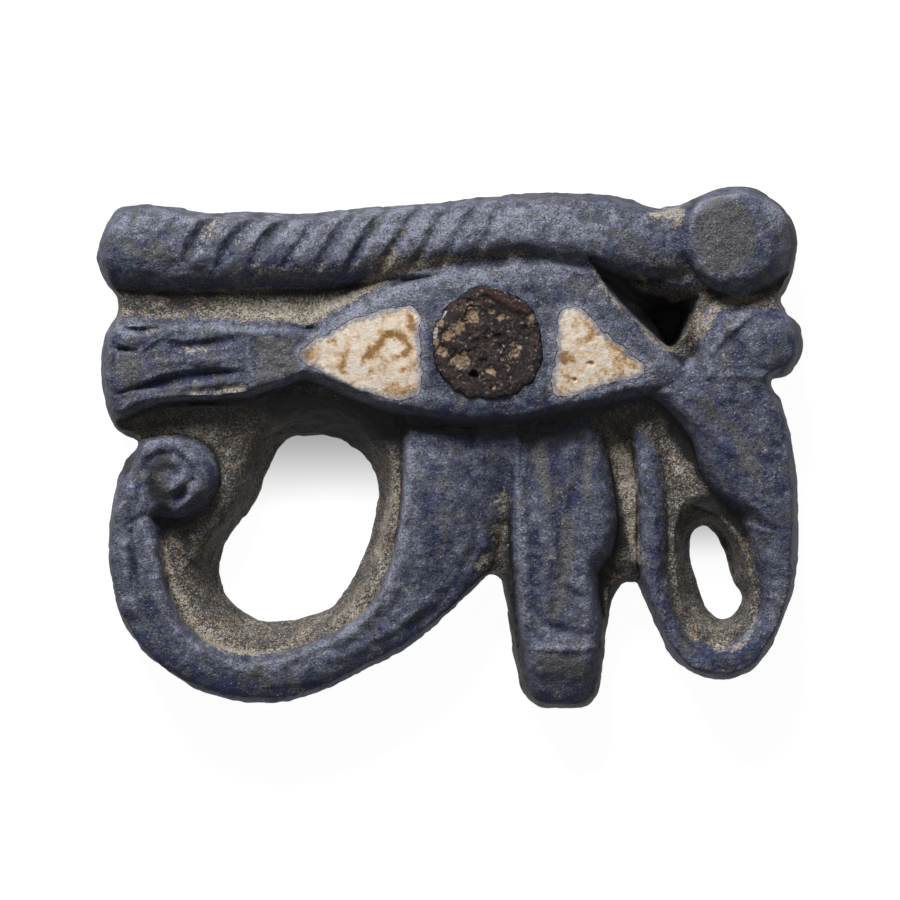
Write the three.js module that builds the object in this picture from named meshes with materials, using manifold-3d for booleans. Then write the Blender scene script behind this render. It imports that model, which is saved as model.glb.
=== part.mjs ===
// A wedjat eye amulet: an openwork plaque of blue faience, moulded and carved on the front and flat on
// the back, with two pale stone cells for the white of the eye and a dark glass pupil, each set on a bed
// of plaster in its own socket. The amulet lies on its back: +X runs along the brow towards the cobra,
// +Y towards the brow, +Z out of the carved face. The origin is the middle of the box, on the flat back.
// Lengths are in millimetres.
import * as THREE from "three";
import { mergeVertices } from "three/addons/utils/BufferGeometryUtils.js";
import Module from "manifold-3d";

const wasm = await Module();
wasm.setup();

// Overall sizes
const amuletLength = 42.4;
const amuletHeight = 31.3;

// Heights above the flat back
const groundHeight = 4.9;
const armHeight = 6.2;
const coilHeight = 6.0;
const coilBossHeight = 6.1;
const barHeight = 6.5;
const dropHeight = 6.0;
const lidFoot = 4.0;
const lidHeight = 6.75;
const lidSlopeTop = 6.3;
const lidSlopeFoot = 3.9;
const barSlopeTop = 6.1;
const barSlopeFoot = 4.0;
const eyeHeight = 7.3;
const browHeight = 7.5;
const cobraHeight = 6.5;
const hoodHeight = 6.65;
const headHeight = 7.1;
const discHeight = 7.8;
const footHeight = 3.2;
const raisedFoot = 3.8;
const footDepth = 1.2;

// Widths across each raised member, at its widest
const browWidth = 6.12;
const armWidth = 6.96;
const cobraWidth = 4.92;
const coilBossWidth = 1.5;
const discDiameter = 6.6;
const discFlatLength = 3.96;
const discFlatWidth = 4.8;
const headLength = 4.44;
const headWidth = 3.84;
const eyeLength = 24.3;
const eyeWidth = 9.9;

// Edges of the plaque
const backEdgeRound = 0.7;
const sideHeight = 2.4;
const shoulderWidth = 0.8;
const barEdgeRound = 0.75;
const hoodEdgeRound = 0.7;
const dropEdgeRound = 1.1;
const coilEdgeRound = 1.1;
const lidEdgeRound = 0.5;
const barSlopeReach = 2.3;
const lidSlopeReach = 2.2;

// Openings and hollows
const loopHoleLength = 9.6;
const loopHoleHeight = 11.3;
const loopCrestLength = 15.3;
const loopCrestHeight = 16.2;
const smallHoleLength = 3.2;
const smallHoleHeight = 5.6;
const smallCrestLength = 5.9;
const smallCrestHeight = 13.3;
const loopLip = 1.3;
const channelWidth = 2.3;
const channelFloor = 3.3;
const notchWidth = 2.0;
const notchFloor = 3.5;
const pitFloor = 1.6;
const boreDiameter = 1.4;
const boreHeight = 3.3;
const cutOverrun = 2.0;

// Tool marks
const grooveWidth = 0.95;
const grooveLength = 3.9;
const grooveDepth = 0.55;
const grooveDrop = 0.15;
const grooveLean = 0.62;
const grooveTilt = 0.3;
const fluteWidth = 0.8;
const fluteDepth = 0.3;
const coilGrooveDepth = 0.5;

// Inlays and their sockets
const pupilDiameter = 6.7;
const pupilProud = 0.35;
const pupilEdgeRound = 0.5;
const septumWall = 0.51;
const outerCellLength = 7.4;
const outerCellHeight = 5.6;
const innerCellLength = 5.6;
const innerCellHeight = 5.4;
const socketDepth = 2.6;
const bedThickness = 0.5;
const seatClearance = 0.2;

// How finely curves are drawn, in points or steps
const plaquePoints = 150;
const memberPoints = 48;
const roundPoints = 36;
const spanPoints = 2;
const browSteps = 26;
const armSteps = 42;
const cobraSteps = 30;
const memberSides = 10;
const browSides = 14;
const hollowSides = 8;
const hollowSteps = 14;
const markSteps = 10;
const edgeSteps = 3;
const weldTolerance = 1e-5;
const shortestEdge = 0.004;

// Places, as shares of the amulet's length and height from its lower left corner
const outlineShares = [
  [0, 0.854], [0.004, 0.887], [0.014, 0.927], [0.031, 0.956], [0.062, 0.966], [0.105, 0.962],
  [0.154, 0.95], [0.211, 0.948], [0.274, 0.946], [0.338, 0.952], [0.402, 0.96], [0.465, 0.967],
  [0.529, 0.977], [0.593, 0.985], [0.656, 0.987], [0.713, 0.985], [0.752, 0.973], [0.791, 0.958],
  [0.826, 0.962], [0.859, 0.981], [0.89, 0.998], [0.925, 0.998], [0.956, 0.979], [0.982, 0.943],
  [0.992, 0.9], [0.987, 0.849], [0.976, 0.805], [0.967, 0.782], [0.979, 0.757], [0.996, 0.73],
  [1, 0.699], [0.994, 0.665], [0.98, 0.64], [0.959, 0.63], [0.958, 0.613], [0.972, 0.582],
  [0.982, 0.533], [0.987, 0.475], [0.992, 0.389], [0.992, 0.303], [0.986, 0.226], [0.972, 0.165],
  [0.953, 0.111], [0.931, 0.075], [0.904, 0.059], [0.874, 0.056], [0.84, 0.071], [0.813, 0.105],
  [0.793, 0.159], [0.778, 0.207], [0.767, 0.239], [0.754, 0.245], [0.74, 0.236], [0.728, 0.197],
  [0.721, 0.13], [0.716, 0.063], [0.709, 0.021], [0.692, 0.002], [0.659, 0], [0.625, 0.004],
  [0.605, 0.029], [0.597, 0.073], [0.587, 0.149], [0.579, 0.215], [0.57, 0.251], [0.556, 0.255],
  [0.535, 0.23], [0.501, 0.186], [0.461, 0.138], [0.409, 0.094], [0.352, 0.056], [0.296, 0.021],
  [0.239, 0.011], [0.182, 0.021], [0.126, 0.05], [0.074, 0.102], [0.038, 0.165], [0.021, 0.245],
  [0.018, 0.322], [0.025, 0.402], [0.04, 0.464], [0.061, 0.504], [0.058, 0.515], [0.031, 0.533],
  [0.016, 0.575], [0.008, 0.638], [0.01, 0.69], [0.018, 0.73], [0.03, 0.757], [0.028, 0.787],
  [0.014, 0.812],
];

// The big loop, as shares of its own sizes about its middle: where it opens in the back, and the crest
// around it on the face, point for point
const loopShare = [0.2865, 0.344];
const loopHoleShares = [
  [-0.448, -0.055], [-0.501, -0.183], [-0.492, -0.299], [-0.426, -0.402], [-0.316, -0.476],
  [-0.148, -0.501], [0.042, -0.482], [0.21, -0.418], [0.32, -0.299], [0.395, -0.158], [0.466, 0.003],
  [0.501, 0.15], [0.484, 0.277], [0.404, 0.396], [0.258, 0.474], [0.091, 0.501], [-0.033, 0.49],
  [-0.13, 0.432], [-0.197, 0.31], [-0.254, 0.183], [-0.333, 0.072],
];
const loopCrestShares = [
  [-0.564, 0.031], [-0.556, -0.116], [-0.536, -0.265], [-0.464, -0.398], [-0.339, -0.479],
  [-0.19, -0.516], [-0.015, -0.487], [0.154, -0.417], [0.287, -0.309], [0.362, -0.184], [0.398, -0.025],
  [0.417, 0.143], [0.436, 0.272], [0.398, 0.369], [0.24, 0.437], [0.046, 0.485], [-0.143, 0.456],
  [-0.29, 0.365], [-0.328, 0.216], [-0.367, 0.068], [-0.445, 0.002],
];

// The small loop between the cobra's body and its tail, in the same way
const smallLoopShare = [0.8795, 0.258];
const smallHoleShares = [
  [-0.258, 0.497], [-0.033, 0.408], [0.152, 0.184], [0.325, -0.073], [0.497, -0.24], [0.378, -0.414],
  [0.073, -0.497], [-0.219, -0.352], [-0.364, -0.184], [-0.457, 0.011], [-0.497, 0.218],
  [-0.497, 0.319], [-0.47, 0.408], [-0.391, 0.486],
];
const smallCrestShares = [
  [-0.183, 0.367], [0.176, 0.268], [0.349, 0.127], [0.428, -0.052], [0.392, -0.188], [0.205, -0.301],
  [-0.061, -0.346], [-0.305, -0.301], [-0.485, -0.174], [-0.564, -0.007], [-0.564, 0.24],
  [-0.55, 0.555], [-0.464, 0.654], [-0.284, 0.534],
];

// Raised members: along, up, the width there as a share of the member's widest, the rise there as a share of
// the member's full rise, and how far the crest lies to the left, as a share of the half width
const browShares = [
  [-0.023, 0.889, 0.843, 0.86, -0.2], [0.004, 0.889, 0.882, 0.895, -0.2],
  [0.041, 0.895, 0.98, 0.942, -0.24], [0.105, 0.893, 1, 0.977, -0.26], [0.19, 0.887, 0.941, 0.977, -0.24],
  [0.274, 0.889, 0.922, 0.977, -0.27], [0.352, 0.897, 0.922, 0.977, -0.32],
  [0.43, 0.912, 0.843, 0.988, -0.37], [0.515, 0.925, 0.804, 1, -0.42],
  [0.614, 0.935, 0.784, 1.012, -0.46], [0.699, 0.931, 0.804, 1.012, -0.44],
  [0.769, 0.92, 0.745, 0.965, -0.35], [0.826, 0.908, 0.608, 0.884, -0.2], [0.861, 0.9, 0.471, 0.814, 0],
];
const armShares = [
  [0.512, 0.59, 1, 0.6, -0.85], [0.512, 0.513, 0.983, 0.767, -0.85], [0.511, 0.456, 0.948, 0.917, -0.87],
  [0.505, 0.375, 0.914, 0.983, -0.87], [0.491, 0.299, 0.862, 0.983, -0.86],
  [0.465, 0.215, 0.776, 0.967, -0.84], [0.421, 0.14, 0.672, 0.95, -0.82],
  [0.359, 0.084, 0.638, 0.933, -0.8], [0.291, 0.048, 0.638, 0.933, -0.82],
  [0.218, 0.034, 0.655, 0.933, -0.82], [0.146, 0.057, 0.655, 0.933, -0.82],
  [0.091, 0.107, 0.69, 0.95, -0.8], [0.052, 0.193, 0.69, 0.967, -0.78], [0.041, 0.28, 0.69, 0.967, -0.75],
  [0.042, 0.351, 0.621, 0.933, -0.5], [0.052, 0.408, 0.483, 0.9, 0],
];
const cobraShares = [
  [0.96, 0.398, 1, 0.97, -0.1], [0.966, 0.341, 0.878, 0.955, -0.1], [0.972, 0.284, 0.78, 0.909, -0.1],
  [0.973, 0.222, 0.707, 0.879, -0.1], [0.963, 0.157, 0.707, 0.864, -0.1],
  [0.929, 0.096, 0.707, 0.848, -0.1], [0.874, 0.075, 0.707, 0.818, -0.1],
  [0.826, 0.102, 0.585, 0.818, -0.1], [0.799, 0.174, 0.415, 0.818, 0], [0.789, 0.255, 0.341, 0.818, 0],
  [0.788, 0.341, 0.317, 0.818, 0], [0.786, 0.418, 0.293, 0.773, 0], [0.781, 0.485, 0.268, 0.636, 0],
  [0.774, 0.533, 0.22, 0.424, 0],
];
const hoodShares = [
  [0.769, 0.605], [0.809, 0.64], [0.837, 0.676], [0.871, 0.697], [0.905, 0.734], [0.95, 0.759],
  [0.99, 0.739], [1.007, 0.693], [0.993, 0.648], [0.973, 0.628], [0.982, 0.59], [0.994, 0.513],
  [1, 0.418], [1, 0.322], [0.989, 0.272], [0.96, 0.312], [0.922, 0.36], [0.877, 0.406], [0.853, 0.456],
  [0.84, 0.508], [0.818, 0.552], [0.791, 0.584],
];
const barShares = [
  [0.014, 0.715], [0.023, 0.736], [0.091, 0.743], [0.154, 0.743], [0.218, 0.732], [0.274, 0.718],
  [0.296, 0.695], [0.296, 0.644], [0.274, 0.621], [0.235, 0.603], [0.218, 0.59], [0.147, 0.588],
  [0.076, 0.577], [0.031, 0.556], [0.017, 0.58], [0.013, 0.632], [0.013, 0.686],
];
const dropShares = [
  [0.583, 0.619], [0.581, 0.533], [0.581, 0.456], [0.584, 0.36], [0.588, 0.264], [0.591, 0.188],
  [0.6, 0.111], [0.605, 0.054], [0.615, 0.01], [0.656, -0.008], [0.699, 0.004], [0.71, 0.034],
  [0.716, 0.092], [0.717, 0.159], [0.713, 0.226], [0.714, 0.264], [0.731, 0.299], [0.738, 0.351],
  [0.733, 0.418], [0.723, 0.494], [0.716, 0.552], [0.713, 0.619],
];
const coilShares = [
  [0.045, 0.456], [0.059, 0.508], [0.085, 0.521], [0.113, 0.523], [0.143, 0.513], [0.164, 0.49],
  [0.174, 0.46], [0.173, 0.425], [0.16, 0.393], [0.14, 0.37], [0.113, 0.362], [0.083, 0.362],
  [0.068, 0.341], [0.034, 0.322], [0.006, 0.36], [0.013, 0.418],
];
const discShare = [0.917, 0.897];
const discFlatShare = [0.888, 0.9];
const headShare = [0.951, 0.69];
const coilBossShare = [0.118, 0.434];
const pupilShare = [0.552, 0.699];
const boreShare = 0.889;

// The lids, as shares of the eye's length and width about the middle of the pupil
const lidShares = [
  [-0.459, 0.066], [-0.349, 0.212], [-0.225, 0.341], [-0.113, 0.414], [0.033, 0.468], [0.181, 0.49],
  [0.262, 0.468], [0.311, 0.335], [0.379, 0.152], [0.441, -0.013], [0.503, -0.174], [0.478, -0.297],
  [0.379, -0.338], [0.256, -0.411], [0.108, -0.49], [-0.04, -0.509], [-0.176, -0.465], [-0.3, -0.379],
  [-0.398, -0.272], [-0.464, -0.212], [-0.497, -0.073],
];

// The ground's height up the amulet, as shares of the amulet's height and of the ground's
const groundProfileShares = [
  [-0.1, 0.857], [0.513, 0.857], [0.6, 1], [0.686, 1], [0.734, 0.898], [0.82, 0.898], [0.854, 1], [1.1, 1],
];
const slopeEndShare = 0.71;

// The drop's height up the amulet, in the same way
const dropProfileShares = [
  [-0.1, 0.72], [0, 0.767], [0.084, 0.958], [0.115, 1], [0.149, 0.958], [0.184, 0.95], [0.36, 0.992],
  [0.456, 0.958], [0.533, 0.883], [0.561, 0.833], [0.7, 0.78],
];

// The disc from its outer edge in to its flat: shares of the way in and of its rise
const discShares = [[0, 0], [0.1, 0.48], [0.3, 0.73], [0.55, 0.885], [0.8, 0.965], [1, 1]];

// The lids' edge: shares of its inset and of its rise
const lidEdgeShares = [[0.35, 0.5], [1, 0.8]];

// Hollows: along, up, and the width there as a share of the hollow's widest
const channelShares = [
  [0.744, 0.575, 0.45], [0.745, 0.52, 0.8], [0.75, 0.43, 0.9], [0.755, 0.34, 0.85],
  [0.754, 0.26, 0.95], [0.752, 0.2, 1.1],
];
const notchShares = [
  [0.572, 0.46, 0.15], [0.57, 0.38, 0.3], [0.566, 0.31, 0.6], [0.562, 0.25, 1], [0.56, 0.2, 1.3],
];
const pitRimShares = [
  [0.696, 0.864], [0.713, 0.828], [0.728, 0.785], [0.755, 0.751], [0.784, 0.716], [0.809, 0.69],
  [0.826, 0.699], [0.84, 0.734], [0.85, 0.768], [0.856, 0.789], [0.832, 0.803], [0.798, 0.805],
  [0.769, 0.818], [0.73, 0.849],
];
const pitFloorShares = [
  [0.788, 0.761], [0.789, 0.755], [0.792, 0.745], [0.796, 0.732], [0.803, 0.711], [0.812, 0.695],
  [0.819, 0.701], [0.825, 0.718], [0.829, 0.741], [0.83, 0.761], [0.822, 0.766], [0.809, 0.768],
  [0.798, 0.766], [0.791, 0.764],
];

// The brow's tool marks: along, up, and the depth as a share of the full one
const browMarkShares = [
  [0.119, 0.920, 0.3], [0.154, 0.900, 1.1], [0.208, 0.902, 0.95], [0.256, 0.908, 0.75],
  [0.291, 0.889, 0.45], [0.338, 0.893, 0.6], [0.385, 0.898, 0.65], [0.429, 0.900, 0.6],
  [0.477, 0.908, 0.55], [0.516, 0.914, 0.42],
];

// Long tool marks on the bar, the drop and the arm: along, up, and the width as a share of the flute's widest
const barFluteShares = [
  [[0.08, 0.608, 0.5], [0.11, 0.628, 1], [0.168, 0.641, 1.1], [0.212, 0.642, 0.5]],
  [[0.058, 0.725, 0.6], [0.075, 0.726, 1], [0.098, 0.725, 0.5]],
  [[0.1, 0.7, 0.4], [0.13, 0.699, 0.7], [0.16, 0.696, 0.4]],
];
const dropFluteShares = [
  [[0.64, 0.5, 0.8], [0.637, 0.38, 1.2], [0.632, 0.26, 1.2], [0.63, 0.14, 0.8]],
  [[0.682, 0.48, 0.7], [0.678, 0.34, 1], [0.67, 0.22, 1], [0.667, 0.13, 0.7]],
];
const armFluteShares = [
  [[0.477, 0.456, 0.9], [0.47, 0.37, 1.35], [0.457, 0.284, 1.35], [0.429, 0.207, 1.2], [0.385, 0.146, 1.05],
    [0.328, 0.103, 0.9], [0.272, 0.079, 0.75]],
  [[0.051, 0.337, 0.75], [0.051, 0.303, 0.9], [0.055, 0.266, 1.05], [0.057, 0.226, 0.9], [0.062, 0.195, 0.6]],
];
const coilGrooveShares = [
  [0.059, 0.404, 0.75], [0.062, 0.429, 1.05], [0.071, 0.46, 1.2], [0.085, 0.481, 1.2], [0.106, 0.487, 1.2],
  [0.126, 0.477, 1.05], [0.136, 0.454, 0.9], [0.139, 0.433, 0.75],
];

// Shares of a cell's own length, away from the pupil, and of its height, above the pupil's middle
const outerCellShares = [
  [1, -0.13], [0.93, -0.03], [0.75, 0.12], [0.54, 0.26], [0.3, 0.355], [0.08, 0.387], [0.024, 0.33],
  [0.016, -0.02], [0, -0.45], [0.03, -0.57], [0.18, -0.613], [0.38, -0.57], [0.63, -0.46], [0.85, -0.31],
];
const innerCellShares = [
  [0.1, 0.34], [0.24, 0.39], [0.37, 0.33], [0.53, 0.14], [0.74, -0.02], [0.91, -0.18], [1, -0.3],
  [0.94, -0.38], [0.66, -0.44], [0.42, -0.53], [0.2, -0.61], [0.04, -0.58], [0, -0.47], [0.04, -0.19],
  [0.05, 0.09],
];

// A share of the amulet's length and height as a place on its face
function place([along, up]) {
  return new THREE.Vector2((along - 0.5) * amuletLength, (up - 0.5) * amuletHeight);
}

// Places given as shares of a form's own length and height about its middle
function around(middleShare, shares, length, height) {
  const middle = place(middleShare);
  return shares.map(([along, up]) => new THREE.Vector2(middle.x + along * length, middle.y + up * height));
}

// A closed smooth outline through places, as plain points
function outline(places) {
  const through = places.map((p) => new THREE.Vector3(p.x, p.y, 0));
  const curve = new THREE.CatmullRomCurve3(through, true, "centripetal");
  return curve.getPoints(places.length * spanPoints).slice(0, -1);
}

// The same outline with its points spaced evenly
function evenOutline(places, count) {
  const through = places.map((p) => new THREE.Vector3(p.x, p.y, 0));
  const curve = new THREE.CatmullRomCurve3(through, true, "centripetal");
  return curve.getSpacedPoints(count).slice(0, -1);
}

// The signed area of an outline: positive when it runs anticlockwise
function areaOf(points) {
  return THREE.ShapeUtils.area(points);
}

// An outline drawn in by a distance, each point along its own normal
function drawnIn(points, distance) {
  const inwards = Math.sign(areaOf(points));
  return points.map((p, i) => {
    const before = points[(i + points.length - 1) % points.length];
    const after = points[(i + 1) % points.length];
    const along = new THREE.Vector2(after.x - before.x, after.y - before.y).normalize();
    return new THREE.Vector3(p.x - along.y * inwards * distance, p.y + along.x * inwards * distance, p.z);
  });
}

// An outline at a height
function at(points, height) {
  return points.map((p) => new THREE.Vector3(p.x, p.y, height));
}

// A solid from a closed geometry, with its faces pointing out
function solid(geometry) {
  const bare = geometry.index ? geometry.toNonIndexed() : geometry.clone();
  bare.deleteAttribute("normal");
  bare.deleteAttribute("uv");
  const merged = mergeVertices(bare, weldTolerance);
  const corners = new Uint32Array(merged.index.array);
  const make = () =>
    new wasm.Manifold(
      new wasm.Mesh({ numProp: 3, vertProperties: merged.attributes.position.array, triVerts: corners }),
    );
  const first = make();
  if (first.volume() > 0) return first;
  for (let i = 0; i < corners.length; i += 3) {
    [corners[i + 1], corners[i + 2]] = [corners[i + 2], corners[i + 1]];
  }
  return make();
}

// A loft through rings that have the same number of points. With a plan, which is an outline of as many
// points that doesn't cross itself, both ends are flat and cut into triangles as the plan is. Without one,
// each end is a fan about its middle
function loft(rings, plan) {
  const count = rings[0].length;
  const positions = rings.flat().flatMap((p) => [p.x, p.y, p.z]);
  const corners = [];
  for (let r = 0; r + 1 < rings.length; r += 1) {
    for (let i = 0; i < count; i += 1) {
      const a = r * count + i;
      const b = r * count + ((i + 1) % count);
      corners.push(a, b, b + count, a, b + count, a + count);
    }
  }
  const flat = plan ? plan.map((p) => new THREE.Vector2(p.x, p.y)) : [];
  const pieces = plan ? THREE.ShapeUtils.triangulateShape(flat, []) : [];
  const close = (ring, start, turned) => {
    const add = (a, b, c) => (turned ? corners.push(a, c, b) : corners.push(a, b, c));
    for (const [a, b, c] of pieces) add(start + a, start + b, start + c);
    if (plan) return;
    const middle = ring.reduce((sum, p) => sum.add(p), new THREE.Vector3()).divideScalar(count);
    const centre = positions.length / 3;
    positions.push(middle.x, middle.y, middle.z);
    for (let i = 0; i < count; i += 1) add(centre, start + i, start + ((i + 1) % count));
  };
  const forwards = plan ? areaOf(plan) > 0 : true;
  close(rings[0], 0, forwards);
  close(rings.at(-1), (rings.length - 1) * count, !forwards);
  const geometry = new THREE.BufferGeometry();
  geometry.setAttribute("position", new THREE.Float32BufferAttribute(positions, 3));
  geometry.setIndex(corners);
  return solid(geometry);
}

// Rings that round an outline over at its face: a quarter of an ellipse, from the outline at one height to
// an inset at another
function overEdge(points, low, high, inset) {
  const rings = [];
  for (let i = 0; i <= edgeSteps; i += 1) {
    const angle = (i / edgeSteps) * (Math.PI / 2);
    rings.push(at(drawnIn(points, inset * (1 - Math.cos(angle))), low + (high - low) * Math.sin(angle)));
  }
  return rings;
}

// A slab with an outline's sides, rounded over at its face
function softSlab(points, bottom, low, high, inset) {
  return loft([at(points, bottom), ...overEdge(points, low, high, inset)], points);
}

// A straight-sided cutter or post with an outline's sides
function post(points, bottom, top) {
  return loft([at(points, bottom), at(points, top)], points);
}

// A block under a profile: heights up the amulet, given as shares, over its whole length
function underProfile(shares, height) {
  const first = shares[0];
  const last = shares.at(-1);
  const level = [...shares, [last[0], 0], [first[0], 0]];
  const corners = level.map(([up, share]) => new THREE.Vector2(place([0, up]).y, share * height));
  const section = new THREE.Shape(corners);
  const block = new THREE.ExtrudeGeometry(section, { depth: amuletLength, bevelEnabled: false });
  block.rotateX(Math.PI / 2);
  block.rotateZ(Math.PI / 2);
  block.translate(-amuletLength / 2, 0, 0);
  return solid(block);
}

// A line along the face, with the member's half width carried as the third coordinate, and beside it the
// member's rise and lean there
function memberLine(shares, width) {
  const through = shares.map(([along, up, share]) => {
    const p = place([along, up]);
    return new THREE.Vector3(p.x, p.y, (share * width) / 2);
  });
  const forms = shares.map(([, , , rise = 1, lean = 0]) => new THREE.Vector3(rise, lean, 0));
  const line = new THREE.CatmullRomCurve3(through, false, "centripetal");
  return { line, form: new THREE.CatmullRomCurve3(forms, false, "catmullrom", 0) };
}

// A member of oval section laid along a line: its widest place is at one height and its crest at another.
// under is its depth below the widest place, square flattens the oval, and ends are the sizes of its first
// and last sections, as shares of the full one
const bluntShares = [0.4, 0.8];
const taperShares = [0.5];
function member(course, widestHeight, crestHeight, { steps, under, sides, square = 1, ends = bluntShares }) {
  const rings = [];
  for (let i = 0; i <= steps; i += 1) {
    const p = course.line.getPoint(i / steps);
    const t = course.line.getTangent(i / steps);
    const form = course.form.getPoint(i / steps);
    const across = new THREE.Vector2(-t.y, t.x).normalize();
    const fromEnd = Math.min(i, steps - i);
    const blunt = fromEnd < ends.length ? ends[fromEnd] : 1;
    const ring = [];
    for (let k = 0; k < sides; k += 1) {
      const angle = (2 * Math.PI * k) / sides;
      const c = Math.cos(angle);
      const s = Math.sin(angle);
      const wide = Math.sign(c) * Math.abs(c) ** square;
      const leaning = s > 0 ? form.y + wide * (1 - Math.sign(c) * form.y) : wide;
      const side = leaning * p.z * blunt;
      const reach = s > 0 ? (crestHeight - widestHeight) * form.x : under;
      const rise = Math.sign(s) * Math.abs(s) ** square * reach * blunt;
      ring.push(new THREE.Vector3(p.x + across.x * side, p.y + across.y * side, widestHeight + rise));
    }
    rings.push(ring);
  }
  return loft(rings);
}

// A hollow of oval section along a line, sunk to a depth under a surface height
function gouge(shares, width, surface, depth, steps) {
  return member(memberLine(shares, width), surface, surface + depth, {
    steps,
    under: depth,
    sides: hollowSides,
    ends: taperShares,
  });
}

// An oval boss with steep sides and a flattened top
const bossShares = [1, 0.93, 0.8, 0.6, 0.3];
function boss(middle, length, width, foot, crest) {
  const rings = bossShares.map((share) => {
    const oval = new THREE.EllipseCurve(middle.x, middle.y, (share * length) / 2, (share * width) / 2);
    const ring = oval.getPoints(memberSides * 2).slice(0, -1);
    return at(ring, foot + (crest - foot) * Math.sqrt(1 - share ** 3));
  });
  return loft(rings);
}

// The silhouette's block: both edges rounded, and tall enough to hold every member
function silhouetteBlock() {
  const silhouette = evenOutline(outlineShares.map(place), plaquePoints);
  const rings = [];
  for (const share of [0, 0.5]) {
    const angle = (share * Math.PI) / 2;
    const inset = backEdgeRound * (1 - Math.sin(angle));
    rings.push(at(drawnIn(silhouette, inset), backEdgeRound * (1 - Math.cos(angle))));
  }
  rings.push(at(silhouette, backEdgeRound));
  rings.push(...overEdge(silhouette, sideHeight, browHeight, shoulderWidth));
  rings.push(at(drawnIn(silhouette, shoulderWidth), discHeight + cutOverrun));
  return loft(rings, silhouette);
}

// The openwork cutters: straight through the back, then flaring over a bellied wall to the crest on the face
const bellyShare = 0.4;
const bellyRiseShare = 0.5;
const pitBellyRiseShare = 0.6;
function loopCutter(holePlaces, crestPlaces, crestHeight) {
  const hole = outline(holePlaces);
  const crest = outline(crestPlaces);
  const slope = cutOverrun / (crestHeight - loopLip);
  const beyond = crest.map((p, i) => p.clone().lerp(hole[i], -slope));
  const belly = hole.map((p, i) => p.clone().lerp(crest[i], bellyShare));
  const bellyHeight = loopLip + (crestHeight - loopLip) * bellyRiseShare;
  const rings = [at(hole, -cutOverrun), at(hole, loopLip), at(belly, bellyHeight), at(crest, crestHeight)];
  return loft([...rings, at(beyond, crestHeight + cutOverrun)], hole);
}

function bigLoop() {
  const hole = around(loopShare, loopHoleShares, loopHoleLength, loopHoleHeight);
  const crest = around(loopShare, loopCrestShares, loopCrestLength, loopCrestHeight);
  return loopCutter(hole, crest, armHeight);
}

function smallLoop() {
  const hole = around(smallLoopShare, smallHoleShares, smallHoleLength, smallHoleHeight);
  const crest = around(smallLoopShare, smallCrestShares, smallCrestLength, smallCrestHeight);
  return loopCutter(hole, crest, cobraHeight);
}

// The pit behind the eye's inner corner: a blind hollow that narrows to its floor
function pitCutter() {
  const floor = outline(pitFloorShares.map(place));
  const rim = outline(pitRimShares.map(place));
  const belly = floor.map((p, i) => p.clone().lerp(rim[i], bellyShare));
  const bellyHeight = pitFloor + (lidHeight - pitFloor) * pitBellyRiseShare;
  return loft([at(floor, pitFloor), at(belly, bellyHeight), at(rim, lidHeight), at(rim, above)], rim);
}

// The brow: a tapering roll with slanted tool marks
function brow() {
  let roll = member(memberLine(browShares, browWidth), footHeight, browHeight, {
    steps: browSteps,
    under: footDepth,
    sides: browSides,
    square: 0.8,
  });
  for (const [along, up, depthShare] of browMarkShares) {
    const middle = place([along, up]);
    const mark = new THREE.SphereGeometry(1, 12, 8);
    mark.scale(grooveLength / 2, grooveWidth / 2, grooveDepth * depthShare);
    mark.rotateY(grooveTilt);
    mark.rotateZ(Math.PI / 2 - grooveLean);
    mark.translate(middle.x, middle.y, browHeight - grooveDrop);
    roll = roll.subtract(solid(mark));
  }
  return roll;
}

// The sun disc over the cobra's head: a wide bevel up to a flat that lies off its middle
function sunDisc() {
  const middle = place(discShare);
  const flatMiddle = place(discFlatShare);
  const ring = (centre, length, width) =>
    new THREE.EllipseCurve(centre.x, centre.y, length / 2, width / 2).getPoints(roundPoints).slice(0, -1);
  const outer = ring(middle, discDiameter, discDiameter);
  const flat = ring(flatMiddle, discFlatLength, discFlatWidth);
  const rings = discShares.map(([inwards, rise]) => {
    const height = footHeight + (discHeight - footHeight) * rise;
    return at(outer.map((p, i) => p.clone().lerp(flat[i], inwards)), height);
  });
  return loft(rings, outer);
}

// The lids' outline
function lidOutline() {
  return outline(around(pupilShare, lidShares, eyeLength, eyeWidth));
}

// The eye: lids that roll over into a domed ball, which rises to the pupil
function eyeDome() {
  const lid = lidOutline();
  const middle = place(pupilShare);
  const towards = (share) => lid.map((p) => new THREE.Vector3(middle.x, middle.y, 0).lerp(p, share));
  const rise = eyeHeight - lidHeight;
  const rings = [at(lid, footHeight), at(lid, lidFoot)];
  for (const [inset, share] of lidEdgeShares) {
    rings.push(at(drawnIn(lid, inset * lidEdgeRound), lidFoot + (lidHeight - lidFoot) * share));
  }
  for (const share of [0.84, 0.55, 0.3]) {
    rings.push(at(towards(share), lidHeight + rise * (1 - share * share)));
  }
  return loft(rings, lid);
}

// A cell's outline, drawn in by a clearance: side is -1 towards the brow's plain end, 1 towards the cobra
function cellOutline(shares, length, height, side, clearance) {
  const middle = place(pupilShare);
  const edge = pupilDiameter / 2 + septumWall;
  const places = shares.map(
    ([away, up]) => new THREE.Vector2(middle.x + side * (edge + away * length), middle.y + up * height),
  );
  const points = outline(places);
  return clearance > 0 ? drawnIn(points, clearance) : points;
}

// The pupil's round outline, drawn in by a clearance
function pupilOutline(clearance) {
  const middle = place(pupilShare);
  const r = pupilDiameter / 2 - clearance;
  return new THREE.EllipseCurve(middle.x, middle.y, r, r)
    .getPoints(roundPoints)
    .slice(0, -1)
    .map((p) => new THREE.Vector3(p.x, p.y, 0));
}

const socketFloor = eyeHeight - socketDepth;
const bedFloor = socketFloor + seatClearance;
const seatFloor = bedFloor + bedThickness + seatClearance;
const above = discHeight + cutOverrun;

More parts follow.
